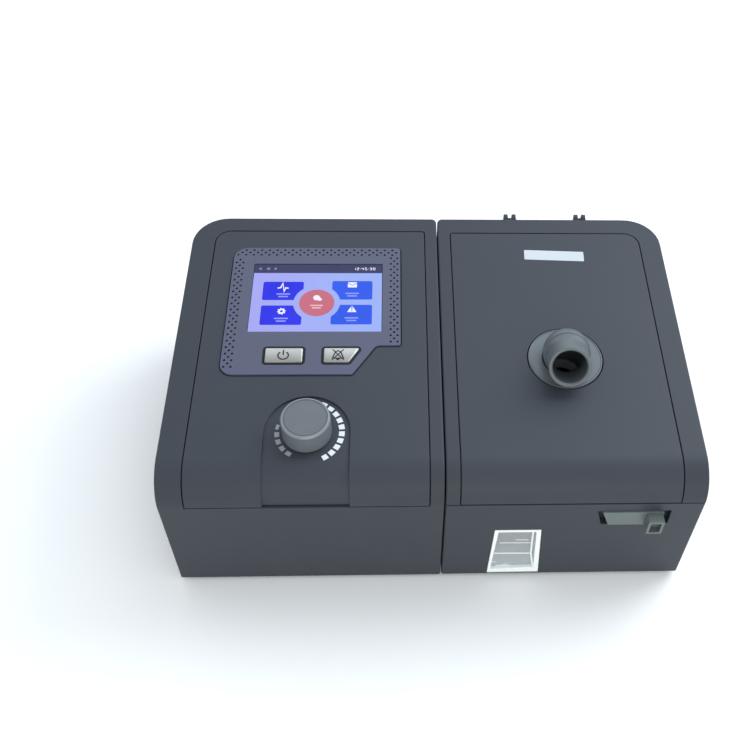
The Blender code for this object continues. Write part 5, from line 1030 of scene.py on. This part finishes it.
class AIRWAY_OT_screen(bpy.types.Operator):
    """Lit screen with a status bar, four tiles cut round a round one, and plain signs on them"""

    bl_idname = "airway.screen"
    bl_label = "Screen"

    def execute(self, context):
        left, right, front, rear = SCREEN
        up = SCREEN_LEVEL
        face = prism("screen_face", box_outline(*SCREEN, 0.5), up - 1, up)
        dress(face, "glow", "case", ["display_glass"], 0)
        border = box_outline(left - 1.4, right + 1.4, front - 1.4, rear + 1.4, 0.8)
        border = prism("screen_border", border, up - 1.1, up - 0.03)
        dress(border, "black", "case", rounding=0)
        strip = box_outline(left, right, 140.5, rear, 0.3)
        mark("status_strip", strip, up, "status", "case", "screen")
        for name, (x0, x1, y0, y1, tint) in TILES.items():
            loop = cut_tile(x0, x1, y0, y1, START_TILE, CUT_R)
            mark(name, loop, up, tint, "case", "screen")
        mark("round_tile", circle(*START_TILE, START_R, 64), up, "start", "case", "screen")
        signs, lines, rose, dim = Patches(), Patches(), Patches(), Patches()
        self.signs(signs)
        self.words(lines, rose)
        self.clock(signs, dim)
        for name, patches, tint in (
            ("screen_signs", signs, "lit_white"), ("screen_lines", lines, "lit_pale"),
            ("screen_start_line", rose, "lit_rose"), ("screen_status", dim, "lit_dim"),
        ):
            dress(patches.build(name, FINE_WELD), tint, "case", rounding=0)
        return {"FINISHED"}

    def put(self, patches, loop):
        """A thin closed sheet on the tiles, from a loop of (x, y)."""
        low = SCREEN_LEVEL + sizes().mark_height / MM
        patches.prism(loop, low, low + SIGN_THICK)

    def signs(self, signs):
        """A pulse wave, a gear, an envelope, a warning triangle and a round head with a badge."""
        wave = [(-90.4, 129.0), (-88.6, 129.4), (-87.6, 132.6),
                (-86.6, 126.6), (-85.9, 129.3), (-84.2, 128.9)]
        self.put(signs, stroke(wave, 0.85))
        middle, turn = (-87.1, 112.0), full_turn(96)
        teeth = 2.1 + 0.3 * np.tanh(4 * np.sin(8 * turn))
        gear, hub = middle + unit(turn) * teeth[:, None], circle(*middle, 0.8, 96)
        level = SCREEN_LEVEL + sizes().mark_height / MM + SIGN_THICK
        signs.grid(np.stack([on_skin(gear, level), on_skin(hub, level)]), round_v=True)
        flap = [(-51.3, 133.2), (-48.75, 131.3), (-46.2, 133.2)]
        self.put(signs, np.array([*flap, (-46.2, 133.5), (-51.3, 133.5)])[::-1])
        fold = [(-46.2, 132.7), (-48.75, 130.8), (-51.3, 132.7)]
        self.put(signs, np.array([(-51.3, 129.6), (-46.2, 129.6), *fold]))
        peak, left, right = (-48.6, 116.3), (-51.2, 111.4), (-46.0, 111.4)
        self.put(signs, np.array([left, (-48.9, 111.4), (-48.9, 115.2), (-48.6, 116.3)]))
        self.put(signs, np.array([peak, (-48.3, 115.2), (-48.3, 111.4), right]))
        self.put(signs, box_outline(-48.95, -48.25, 111.4, 112.0, 0.05))
        self.put(signs, box_outline(-48.95, -48.25, 112.8, 113.3, 0.05))
        self.put(signs, circle(-68.3, 121.9, 1.9, 28))
        self.put(signs, circle(-66.5, 120.7, 1.1, 20))

    def words(self, lines, rose):
        """Plain strokes where the words would stand: two short rows below each sign."""
        for x, y in ((-86.9, 123.7), (-87.0, 105.9), (-48.7, 124.2), (-48.7, 106.3)):
            for wide, rise in ((7.6, 0.95), (5.4, -0.95)):
                self.put(lines, bar_outline(x, y + rise, wide, 1.0))
        for wide, rise in ((7.0, 0.85), (5.0, -0.95)):
            self.put(rose, bar_outline(START_TILE[0], 115.4 + rise, wide, 0.9))

    def clock(self, signs, dim):
        """Plain clock digits of up to seven bars each, two dots between each pair, and three dim
        marks at the other end of the strip."""
        wide, tall = 0.95, 1.7
        half = tall / 2
        bars = {
            "a": [(0, tall), (wide, tall)], "b": [(wide, half), (wide, tall)],
            "c": [(wide, 0), (wide, half)], "d": [(0, 0), (wide, 0)], "e": [(0, 0), (0, half)],
            "f": [(0, half), (0, tall)], "g": [(0, half), (wide, half)],
        }
        left, low = -48.2, 142.9
        for digit in "12:45:30":
            if digit == ":":
                for rise in (0.45, 1.2):
                    self.put(signs, circle(left + 0.2, low + rise, 0.16, 8))
                left += 0.9
                continue
            for bar in SEGMENTS[digit]:
                self.put(signs, stroke(np.array(bars[bar]) + np.array([left, low]), 0.34))
            left += 1.85
        for left, wide in ((-101.6, 1.4), (-97.4, 1.9), (-93.2, 1.4)):
            self.put(dim, box_outline(left, left + wide, low, low + tall, 0.4))


class AIRWAY_OT_keys(bpy.types.Operator):
    """Two metallised keys in black surrounds, with their signs"""

    bl_idname = "airway.keys"
    bl_label = "Keys"

    def execute(self, context):
        for name, key, node, body in (
            ("power_key_cap", POWER_KEY, "power_button", "power_key"),
            ("silence_key_cap", SILENCE_KEY, "silence_button", "silence_key"),
        ):
            well = prism(name.replace("cap", "surround"), outline(key, -1.05), -0.9, 0.95)
            cut(well, "well", outline(key, -0.12), -PAST, PAST)
            dress(well, "black", "case", rounding=0.1)
            steps = [(0.15, -1.9), (0.15, 0.75), (0.28, 1.12), (0.58, 1.4), (0.96, KEY_TOP)]
            rings = np.stack([on_skin(outline(key, inset, 7), level) for inset, level in steps])
            cap = Patches().tube(rings).build(name)
            dress(cap, "silver", body, [node], 0, limit=60)
        self.power_sign()
        self.silence_sign()
        return {"FINISHED"}

    def power_sign(self):
        """A broken ring, arc r (cos a, sin a) over 290 degrees, with an upright bar in its gap."""
        x, y = -83.9, 80.3
        arc = (x, y) + (2.75, 2.6) * unit(np.radians(np.linspace(125, 415, 40)))
        bar = box_outline(x - 0.4, x + 0.4, y + 0.2, y + 3.7, 0.1)
        for name, loop in (("ring", stroke(arc, 0.8)), ("bar", bar)):
            mark(f"power_sign_{name}", loop, KEY_TOP, "dark_print", "power_key", "black")

    def silence_sign(self):
        """A bell, a smooth bulge of width w (1 - t^3), with its clapper, crossed by two lines."""
        x, y = -55.0, 80.5
        up = np.linspace(0, 1, 14)
        wide = 2.2 * np.sqrt(np.clip(1 - up ** 2.4, 0, 1)) * (1 + 0.35 * (1 - up) ** 3)
        left = np.stack([x - wide, y - 2.2 + 5.0 * up], 1)
        right = np.stack([x + wide, y - 2.2 + 5.0 * up], 1)[::-1][1:]
        rising, falling = [(x - 3.1, y - 3.3), (x + 2.9, y + 3.7)], [(x - 2.9, y + 3.7), (x + 3.1, y - 3.3)]
        for name, loop, level in (
            ("bell", stroke(np.vstack([left, right, left[:1]]), 0.7), KEY_TOP),
            ("clapper", circle(x, y - 2.7, 0.9, 20), KEY_TOP),
            ("line_1", stroke(rising, 0.6), KEY_TOP + 0.03),
            ("line_2", stroke(falling, 0.6), KEY_TOP + 0.03),
        ):
            mark(f"silence_sign_{name}", loop, level, "dark_print", "silence_key", "black")


def axis_on_top(x, y):
    """A frame whose axis is the sloping top's normal."""
    return frame_at(skin(x, y), skin_normal(y))


class AIRWAY_OT_knob(bpy.types.Operator):
    """Control knob with a painted highlight on its chamfer and a dished top, and the dashes printed round it
    """

    bl_idname = "airway.knob"
    bl_label = "Control knob"

    def execute(self, context):
        place = axis_on_top(*KNOB)
        edge = sizes().knob_highlight_edge / MM
        low, high, radius = -0.4, 12.1, 12.5
        crown, shoulder = radius - edge, high - edge * 0.7
        profile = rounded_profile([
            (3.4, low + 6, 0), (10.4, low + 6, 0.3), (10.7, low, 0.2), (radius, low, 0.3),
            (radius - 0.2, shoulder, 0.1), (radius - 0.9, high, 0.25), (crown - 0.25, high, 0.1),
            (crown - 0.35, high - 0.35, 0.05), (crown - 0.75, high - 0.35, 0.05),
            (crown - 0.9, high - 0.08, 0.15), (crown - 3.0, high - 0.12, 1.0), (0, high - 0.2, 0),
        ])
        cap = turned("knob_body", profile, place, 96)
        dress(cap, "knob", "knob", ["knob_cap"], 0, 50)
        band = rounded_profile([
            (radius - 0.24, shoulder - 0.5, 0), (radius - 0.12, shoulder, 0.05),
            (radius - 0.82, high + 0.05, 0.25), (crown - 0.2, high + 0.05, 0.1),
            (crown - 0.3, high - 0.2, 0),
        ])
        # The bright ring carries the painted highlight of the knob's chamfer
        ring = turned("knob_bright_ring", band, place, 96)
        dress(ring, "knob_highlight_edge", "knob", rounding=0, limit=60)
        self.dashes()
        return {"FINISHED"}

    def dashes(self):
        """Blocks between two radii and two angles: growing white ones to the right, small ones to the
        left in a grey print that paints a shadow cast over them."""
        near = [18.0, 17.2, 16.6, 16.3, 16.1] + [16.0] * 5
        far = [20.0, 19.6, 19.3, 19.1, 19.0] + [18.9] * 5
        right = list(zip(np.arange(65.5, -70.0, -13.6), [9.4] * 10, near, far))
        # The left dashes take the grey print, a painted shadow
        left = list(zip(np.arange(167.0, 236.0, 17.0), [11.0] * 5, [14.6] + [13.9] * 4, [16.3] * 5))
        for name, spans, tint in (
            ("knob_dashes", right, "print"), ("knob_shadowed_dashes", left, "shadowed_print"),
        ):
            marks = Patches()
            for middle, wide, inner, outer in spans:
                ray = unit(np.radians(middle + np.linspace(-wide / 2, wide / 2, 5)))
                loop = KNOB + np.vstack([inner * ray, outer * ray[::-1]])
                marks.prism(loop, -RECESS_DEPTH, -RECESS_DEPTH + 0.04)
            dress(marks.build(name, FINE_WELD), tint, "case", rounding=0)


# Humidifier

def base_loop(inset):
    """Plan of the humidifier's wall, moved inwards."""
    return outline([
        (SEAM, 0, 1.2), (HUMID_WIDTH, 0, 1.2), (HUMID_WIDTH, DEPTH, REAR_R), (SEAM, DEPTH, SEAM_CORNER),
    ], inset, CORNER_STEPS)


WINDOW = [(25.1, 1.7, 0.5), (54.0, 1.9, 0.5), (51.2, 47.1, 0.5), (26.5, 47.1, 0.5)]
WINDOW_OPEN = [(27.0, 5.4, 0.5), (50.6, 7.2, 0.5), (48.7, 44.9, 0.5), (28.8, 44.9, 0.5)]
ARM_X, ARM_HALF = (44.1, 86.4), 0.9
HINGE_ARM = [
    (183.75, 50.0, 0.2), (189.4, 55.7, 0.5), (189.4, 93.2, 1.9), (185.3, 93.2, 1.9),
    (185.3, 66.0, 0.2), (183.75, 66.0, 0.2),
]
LUG_X, LUG_HALF = (41.7, 46.5, 84.1, 88.65), 1.2
HINGE_LUG = [
    (183.75, 89.2, 0.2), (189.7, 89.2, 2.2), (189.7, 95.5, 1.4), (187.0, 95.5, 0.8), (183.75, 92.6, 0.2),
]
LID_HOOK = [
    (108.0, 64.0, 0.2), (115.0, 64.0, 0.2), (115.0, 82.0, 0.2), (111.5, 82.0, 0.2),
    (111.5, 66.5, 0.2), (108.0, 66.5, 0.2),
]
LATCH_LOW, LATCH_HIGH, LATCH_DEEP = 52.6, 64.6, 4.2
LATCH_ROOM = [(81.2, 52.2, 0.8), (116.0, 52.2, 1.2), (115.7, 65.0, 1.0), (77.8, 65.0, 0.8)]


class AIRWAY_OT_humidifier_base(bpy.types.Operator):
    """Humidifier's lower shell with the window's hole, the latch's recess and the hinge's arms"""

    bl_idname = "airway.humidifier_base"
    bl_label = "Humidifier base"

    def execute(self, context):
        walls = [(0.5, 0), (0.15, 0.15), (0, 0.5), (0, BASE_TOP), (SIDE_WALL, BASE_TOP), (SIDE_WALL, FLOOR)]
        rings = np.stack([upright(base_loop(inset), z) for inset, z in walls])
        shell = Patches().tube(rings).build("humidifier_shell")
        join(shell, "latch room", outline(LATCH_ROOM, -2.6), 1.2, LATCH_DEEP + 2.3, facing_front)
        cut(shell, "latch recess", outline(LATCH_ROOM), -PAST, LATCH_DEEP, facing_front)
        cut(shell, "neck slot", box_outline(94.4, 107.5, 55.2, 61.4, 0.3), 3, 8, facing_front)
        cut(shell, "window hole", outline(WINDOW), -PAST, 5, facing_front)
        cut(shell, "air port", circle(*PORT, PORT_HOLE_R, 40), -4, 5, facing_side)
        for x in ARM_X:
            join(shell, "hinge arm", outline(HINGE_ARM), x - ARM_HALF, x + ARM_HALF, facing_side)
        dress(shell, "shell", "case", ["humidifier_base"])
        return {"FINISHED"}


class AIRWAY_OT_window(bpy.types.Operator):
    """Clear water window: ribs painted white as a highlight, a clear face, level lines and the water behind
    """

    bl_idname = "airway.window"
    bl_label = "Water window"

    def execute(self, context):
        outer, inner = outline(WINDOW, 0.25), outline(WINDOW_OPEN)
        steps = (outer, 2.5), (outer, -0.15), (inner, -0.15), (inner, 2.5)
        rings = [facing_front(loop, y) for loop, y in steps]
        ribs = Patches().grid(np.stack(rings), round_u=True, round_v=True).build("window_ribs")
        # The ribs' white is a painted highlight on clear plastic
        dress(ribs, "rib", "case", ["water_window"], 0.3)
        loop = stroke([(47.0, 44.8), (47.5, 32.3), (48.0, 20.9), (50.4, 7.5)], 0.85)
        rib = prism("window_inner_rib", loop, 0.2, 1.7, facing_front)
        dress(rib, "rib", "case", rounding=0.15)
        block = prism("window_water", outline(WINDOW, 0.6), 1.7, 2.6, facing_front)
        dress(block, "water_view", "case", rounding=0)
        lines = Patches()
        for line, wide in (
            ([(30.4, 31.4), (46.9, 31.2)], 0.45), ([(28.4, 20.2), (47.9, 20.0)], 0.9),
            ([(38.9, 34.5), (45.4, 34.4)], 0.4), ([(29.8, 6.4), (33.8, 7.0), (39.0, 6.2)], 0.6),
        ):
            lines.prism(stroke(line, wide), 1.3, 1.8, facing_front)
        dress(lines.build("window_lines", FINE_WELD), "rib", "case", rounding=0)
        face = prism("window_face", outline(WINDOW, 0.3), -0.6, -0.2, facing_front)
        dress(face, "clear", "case", rounding=0.15)
        return {"FINISHED"}


class AIRWAY_OT_latch(bpy.types.Operator):
    """Latch slider: a long bar with a slanted end and a hollow finger tab"""

    bl_idname = "airway.latch"
    bl_label = "Latch"

    def execute(self, context):
        low, high = LATCH_LOW, LATCH_HIGH
        bar = self.soft_block("latch_bar", [
            (84.7, low, 0.5), (112.0, low, 0.5), (112.0, high, 0.5), (80.4, high, 0.5),
        ], -0.8, LATCH_DEEP - 0.3)
        tab = self.soft_block("tab", [
            (103.2, low + 0.5, 0.6), (111.5, low + 0.5, 0.6),
            (111.5, high - 0.5, 0.6), (103.2, high - 0.5, 0.6),
        ], -6.6, 2.0)
        combine(bar, tab, "UNION")
        hollow = box_outline(104.6, 110.1, low + 1.9, high - 1.9, 0.5)
        cut(bar, "tab hollow", hollow, DEEP, -3.4, facing_front)
        neck = box_outline(94.7, 102.7, low + 2.9, low + 8.3, 0.4)
        join(bar, "neck", neck, 2, 7.9, facing_front)
        catch = outline([
            (94.7, low + 2.9, 0.4), (102.7, low + 2.9, 0.4), (102.7, 66.8, 0.3), (106.7, 66.8, 0.4),
            (106.7, 69.0, 0.4), (94.7, 69.0, 0.4),
        ])
        join(bar, "catch", catch, 6.8, 8.6, facing_front)
        dress(bar, "latch", "latch", ["latch_slider"], 0, 30)
        return {"FINISHED"}

    def soft_block(self, name, corners, front, back, edge=0.3):
        """A block whose front edge turns in two small steps: insets e, 0.3 e and 0 at depths 0,
        0.3 e and e."""
        steps = ((edge, 0), (edge * 0.3, edge * 0.3), (0, edge), (0, back - front))
        rings = np.stack([facing_front(outline(corners, inset), front + depth) for inset, depth in steps])
        return Patches().tube(rings).build(name)


class AIRWAY_OT_lid(bpy.types.Operator):
    """Hinged lid: its shell with pocket, lugs and hook, and the inset panel"""

    bl_idname = "airway.lid"
    bl_label = "Lid"

    def execute(self, context):
        gap = sizes().panel_gap / MM
        shell = case_shell("lid_body", SEAM, HUMID_WIDTH, SEAM_CORNER, REAR_R, LID_LOW)
        low = skin_place(LID_LOW) - 4
        room = panel_outline(**LID_PANEL, low_s=low, grow=gap)
        combine(shell, slab("pocket", room, -POCKET, PAST))
        cut(shell, "outlet hole", circle(*OUTLET, OUTLET_HOLE_R, 64), -12, PAST)
        for x in LUG_X:
            join(shell, "hinge lug", outline(HINGE_LUG), x - LUG_HALF, x + LUG_HALF, facing_side)
        join(shell, "lid hook", outline(LID_HOOK), 7.3, 8.8, facing_front)
        dress(shell, "shell", "lid", ["lid_shell"])
        loop = panel_outline(**LID_PANEL, low_s=skin_place(LID_LOW + 0.2))
        panel = slab("lid_sheet", loop, -PANEL_THICK, 0)
        cut(panel, "flange seat", circle(*OUTLET, FLANGE_SEAT_R, 96), DEEP, PAST)
        dress(panel, "panel", "lid", ["lid_panel"], 0.35, segments=3)
        return {"FINISHED"}


class AIRWAY_OT_outlet(bpy.types.Operator):
    """Outlet: a round flange in the lid, and the elbow that swivels in it"""

    bl_idname = "airway.outlet"
    bl_label = "Outlet"

    def execute(self, context):
        place = axis_on_top(*OUTLET)
        flange = turned("outlet_flange_ring", rounded_profile([
            (15.6, -9.0, 0), (15.6, -3.2, 0.2), (19.9, -3.2, 0.2), (19.9, 0.35, 0.2), (19.35, 0.35, 0.15),
            (19.0, 0.05, 0.2), (12.6, 0.05, 0.3), (11.6, -0.9, 0.2), (11.6, -9.0, 0.1), (15.6, -9.0, 0),
        ]), place, 128)
        dress(flange, "outlet", "lid", ["outlet_flange"], 0, 50)
        dress(self.elbow(), "outlet", "elbow", ["outlet_elbow"], 0, 42)
        return {"FINISHED"}

    def elbow(self):
        """A spigot with a ball knuckle, turned round the lid's normal, joined to a pipe that is
        turned round its own axis, with a bore cut out. The bore's centre line is straight, then the
        arc c + g R (1 - cos b) + n R sin b up to the pipe's direction, then straight again."""
        origin, across, _, normal = axis_on_top(*OUTLET)
        turn, lift, joint, ball = math.radians(-5), math.radians(31), 5.5, 12.6
        heading = across * math.sin(turn) - np.cross(normal, across) * math.cos(turn)
        side = np.cross(heading, normal)
        pipe_way = heading * math.cos(lift) + normal * math.sin(lift)
        knuckle = origin + normal * joint
        swell = unit(np.linspace(-math.asin((joint + 1.4) / ball), math.pi / 2, 26))
        collar = [(0, -12), (10.9, -12), (11.2, -11.6), (11.2, -2.2), *((0, joint) + ball * swell)]
        body = turned("outlet_elbow_pipe", collar, frame_at(origin, normal, heading), 96)
        pipe = rounded_profile([
            (0, -2, 0), (11.0, -2, 0), (11.9, 2.4, 0.5), (12.45, 3.2, 0.25), (12.45, 3.9, 0.25),
            (11.1, 4.15, 0.1), (11.1, 4.9, 0.1), (12.0, 5.2, 0.25), (11.5, 7.2, 2.0), (11.1, 9.4, 3.0),
            (11.0, 13.0, 4.0), (10.95, 22.8, 0.45), (9.6, 22.8, 0.25), (8.0, 21.5, 0), (0, 21.5, 0),
        ])
        combine(body, turned("pipe", pipe, frame_at(knuckle, pipe_way, side), 96), "UNION")
        bend, radius = 11.5, 9.0
        swing = np.linspace(0, math.pi / 2 - lift, 18)
        tangent = bend * math.tan(swing[-1] / 2)
        forth, up = np.sin(swing)[:, None], np.cos(swing)[:, None]
        arc = knuckle - normal * tangent + bend * (heading * (1 - up) + normal * forth)
        aim = heading * forth + normal * up
        run = np.array([22.2, 22.4, 24.0])
        centre = np.vstack([origin - normal * 14, arc, knuckle + pipe_way * run[:, None]])
        aim = np.vstack([normal, aim, np.tile(pipe_way, (3, 1))])
        size = np.full(len(centre), radius)
        size[-2:] = radius + 0.25, radius + 0.9
        across_share, side_share = unit(full_turn(72)).T[:, None, :, None]
        ring = across_share * np.cross(side, aim)[:, None] + side_share * side
        rings = centre[:, None] + size[:, None, None] * ring
        return combine(body, Patches().tube(rings).build("bore"))


# Small parts, inner parts and stage

LABEL_PLACE, LABEL_SIZE, LABEL_TURN = (67.6, 154.8), (34.7, 7.5), math.radians(-2.3)


class AIRWAY_OT_small_parts(bpy.types.Operator):
    """Feet, filter cover and the blank label on the lid"""

    bl_idname = "airway.small_parts"
    bl_label = "Small parts"

    def execute(self, context):
        for node in [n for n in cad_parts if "_foot_" in n]:
            low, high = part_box(node)
            middle = (np.array(low + high) / 2 - CASE_ORIGIN) / MM
            base = (low.z - CASE_ORIGIN[2]) / MM
            profile = rounded_profile([
                (0, base + 0.25, 0), (4.2, base + 0.25, 0.2), (4.6, base, 0.2), (6.1, base, 0.5),
                (6.5, base + 2.0, 0.3), (6.5, base + 4.0, 0.1), (0, base + 4.0, 0),
            ])
            place = frame_at((middle[0], middle[1], 0), (0, 0, 1))
            foot = turned(f"{node}_pad", profile, place, 48)
            dress(foot, "rubber", "case", [node], 0, 50)
        self.filter_cover()
        wide, deep = LABEL_SIZE
        label = box_outline(-wide / 2, wide / 2, -deep / 2, deep / 2, 0.6)
        spin = np.array([[math.cos(LABEL_TURN), math.sin(LABEL_TURN)],
                         [-math.sin(LABEL_TURN), math.cos(LABEL_TURN)]])
        loop = label @ spin + np.array(LABEL_PLACE)
        mark("lid_label", loop, 0.0, "label", "lid", "white", 0.12)
        return {"FINISHED"}

    def filter_cover(self):
        """Cover plate with a thin nose at the front and five upright slots."""
        plate = prism("filter_cover_plate", outline([
            (MAIN_LEFT - 4.5, 60.0, 1.5), (MAIN_LEFT - 0.3, 51.2, 0.6), (MAIN_LEFT - 0.3, 114.9, 0.5),
            (MAIN_LEFT - 4.5, 114.9, 1.5),
        ], steps=5), 20.1, 69.9, upright)
        plug = box_outline(57.3, 108.7, 23.3, 66.7, 0.8)
        join(plate, "plug", plug, MAIN_LEFT - 2, MAIN_LEFT + 2, facing_side)
        for y in np.linspace(66.0, 100.0, 5):
            slot = box_outline(y - 1.5, y + 1.5, 27, 63, 1.4)
            cut(plate, "slot", slot, MAIN_LEFT - 8, MAIN_LEFT + 5, facing_side)
        dress(plate, "dark", "filter_door", ["filter_cover"], 0.2, segments=3)


KEPT = {
    "dark": "main_base display_bracket",
    "black": "power_inlet power_switch silence_switch encoder_body heater_carrier lcd_module",
    "board": "front_board main_board",
    "steel": "motor_body motor_shaft tub_plate hinge_pin_left hinge_pin_right "
             + " ".join(f"{kind}_screw_{at}" for kind in ("board", "base") for at in (1, 2, 3, 4)),
    "brass": "encoder_shaft",
    "volute": "volute_lower volute_upper lid_liner",
    "white": "impeller encoder_rotor",
    "foam": "inlet_filter",
    "rubber": "blower_mount port_seal outlet_seal",
    "grey_rubber": "blower_duct tub_gasket",
    "heater": "heater_plate",
    "water": "water_tub",
}


class AIRWAY_OT_inner_parts(bpy.types.Operator):
    """Better finishes for the frame's own pieces inside the machine"""

    bl_idname = "airway.inner_parts"
    bl_label = "Inner parts"

    def execute(self, context):
        for finish, nodes in KEPT.items():
            for node in nodes.split():
                paint(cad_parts[node].data, finish)
        return {"FINISHED"}


FLOOR_REACH_M = 4.0


class AIRWAY_OT_stage(bpy.types.Operator):
    """Pale floor, soft studio lights and the camera at the photograph's angle"""

    bl_idname = "airway.stage"
    bl_label = "Stage"

    def execute(self, context):
        scene = context.scene
        paper = Finish("floor_paper", {"Roughness": 0.9, "Specular IOR Level": 0.2})
        mottle = paper.noise(6.0, 3.0)
        paper.set(colour=paper.blend(mottle, (0.86, 0.86, 0.86), (0.90, 0.90, 0.90)))
        paper.bump(paper.noise(900.0, 2.0), 0.02 * MM, 0.3)
        mesh = bpy.data.meshes.new("floor")
        far = FLOOR_REACH_M
        corners = [(-far, -far, 0), (far, -far, 0), (far, far, 0), (-far, far, 0)]
        mesh.from_pydata(corners, [], [(0, 1, 2, 3)])
        mesh.materials.append(paper.material)
        floor = link("floor", mesh)
        world = bpy.data.worlds.new("studio")
        world.use_nodes = True
        colour, strength = world.node_tree.nodes["Background"].inputs[:2]
        colour.default_value = (0.90, 0.95, 1.0, 1.0)
        strength.default_value = 1.06
        scene.world = world
        scene.view_settings.view_transform = "Standard"
        self.light("key", (0.78, 0.42, 0.70), (0.05, 0.0, 0.05), 0.7, 6.0, (0.95, 0.98, 1.0))
        self.light("window", (0.34, 0.40, 0.95), (0.06, 0.0, 0.08), 0.8, 3.0, (0.74, 0.89, 1.0))
        self.light("front", (0.15, -1.0, 0.34), (0.0, 0.0, 0.03), 0.8, 2.7, (1.0, 1.0, 0.84))
        self.camera(scene)
        return {"FINISHED"}

    def light(self, name, place, aim, size, power, colour):
        lamp = bpy.data.lights.new(name, "AREA")
        lamp.shape = "DISK"
        lamp.size = size
        lamp.energy = power
        lamp.color = colour
        made = link(name, lamp)
        made.location = place
        made.rotation_euler = (Vector(aim) - Vector(place)).to_track_quat("-Z", "Y").to_euler()

    def camera(self, scene):
        """The pinhole camera that was fitted to the photograph: its place, its right, down and
        forward directions, its focal length and its principal point in a frame of 750 pixels."""
        place = np.array([-23.2, -262.9, 499.6]) * MM + CASE_ORIGIN
        right = Vector((0.9988, -0.0333, 0.0360)).normalized()
        forward = Vector((0.0489, 0.6356, -0.7705)).normalized()
        up = right.cross(forward).normalized()
        right = forward.cross(up)
        focal, centre_x, centre_y, width, sensor = 999.64, 447.07, 366.14, 750, 36
        data = bpy.data.cameras.new("photo_camera")
        data.sensor_width = sensor
        data.lens = focal * sensor / width
        data.shift_x = (width / 2 - centre_x) / width
        data.shift_y = (centre_y - width / 2) / width
        data.clip_start = 0.01
        scene.camera = link("photo_camera", data)
        turn = Matrix((right, up, -forward)).transposed().to_4x4()
        scene.camera.matrix_world = Matrix.Translation(Vector(place.tolist())) @ turn


# Add-on

OPERATORS = (
    AIRWAY_OT_housing, AIRWAY_OT_control_panel, AIRWAY_OT_bezel, AIRWAY_OT_screen, AIRWAY_OT_keys,
    AIRWAY_OT_knob, AIRWAY_OT_humidifier_base, AIRWAY_OT_window, AIRWAY_OT_latch, AIRWAY_OT_lid,
    AIRWAY_OT_outlet, AIRWAY_OT_small_parts, AIRWAY_OT_inner_parts, AIRWAY_OT_stage,
)


class AIRWAY_PT_panel(bpy.types.Panel):
    """Sizes, colours and one button for each piece"""

    bl_idname = "AIRWAY_PT_panel"
    bl_label = "Airway Machine"
    bl_space_type = "VIEW_3D"
    bl_region_type = "UI"
    bl_category = "Airway Machine"

    def draw(self, context):
        layout = self.layout
        for group in (context.scene.airway_sizes, context.scene.airway_colours):
            column = layout.box().column(align=True)
            for name in group.__annotations__:
                column.prop(group, name)
        for operator in OPERATORS:
            layout.operator(operator.bl_idname)


CLASSES = (MachineSizes, MachineColours, *OPERATORS, AIRWAY_PT_panel)


def register():
    for each in CLASSES:
        bpy.utils.register_class(each)
    bpy.types.Scene.airway_sizes = PointerProperty(type=MachineSizes)
    bpy.types.Scene.airway_colours = PointerProperty(type=MachineColours)


def unregister():
    del bpy.types.Scene.airway_sizes
    del bpy.types.Scene.airway_colours
    for each in reversed(CLASSES):
        bpy.utils.unregister_class(each)


def main():
    register()
    for operator in OPERATORS:
        group, name = operator.bl_idname.split(".")
        getattr(getattr(bpy.ops, group), name)()


if __name__ == "__main__":
    main()
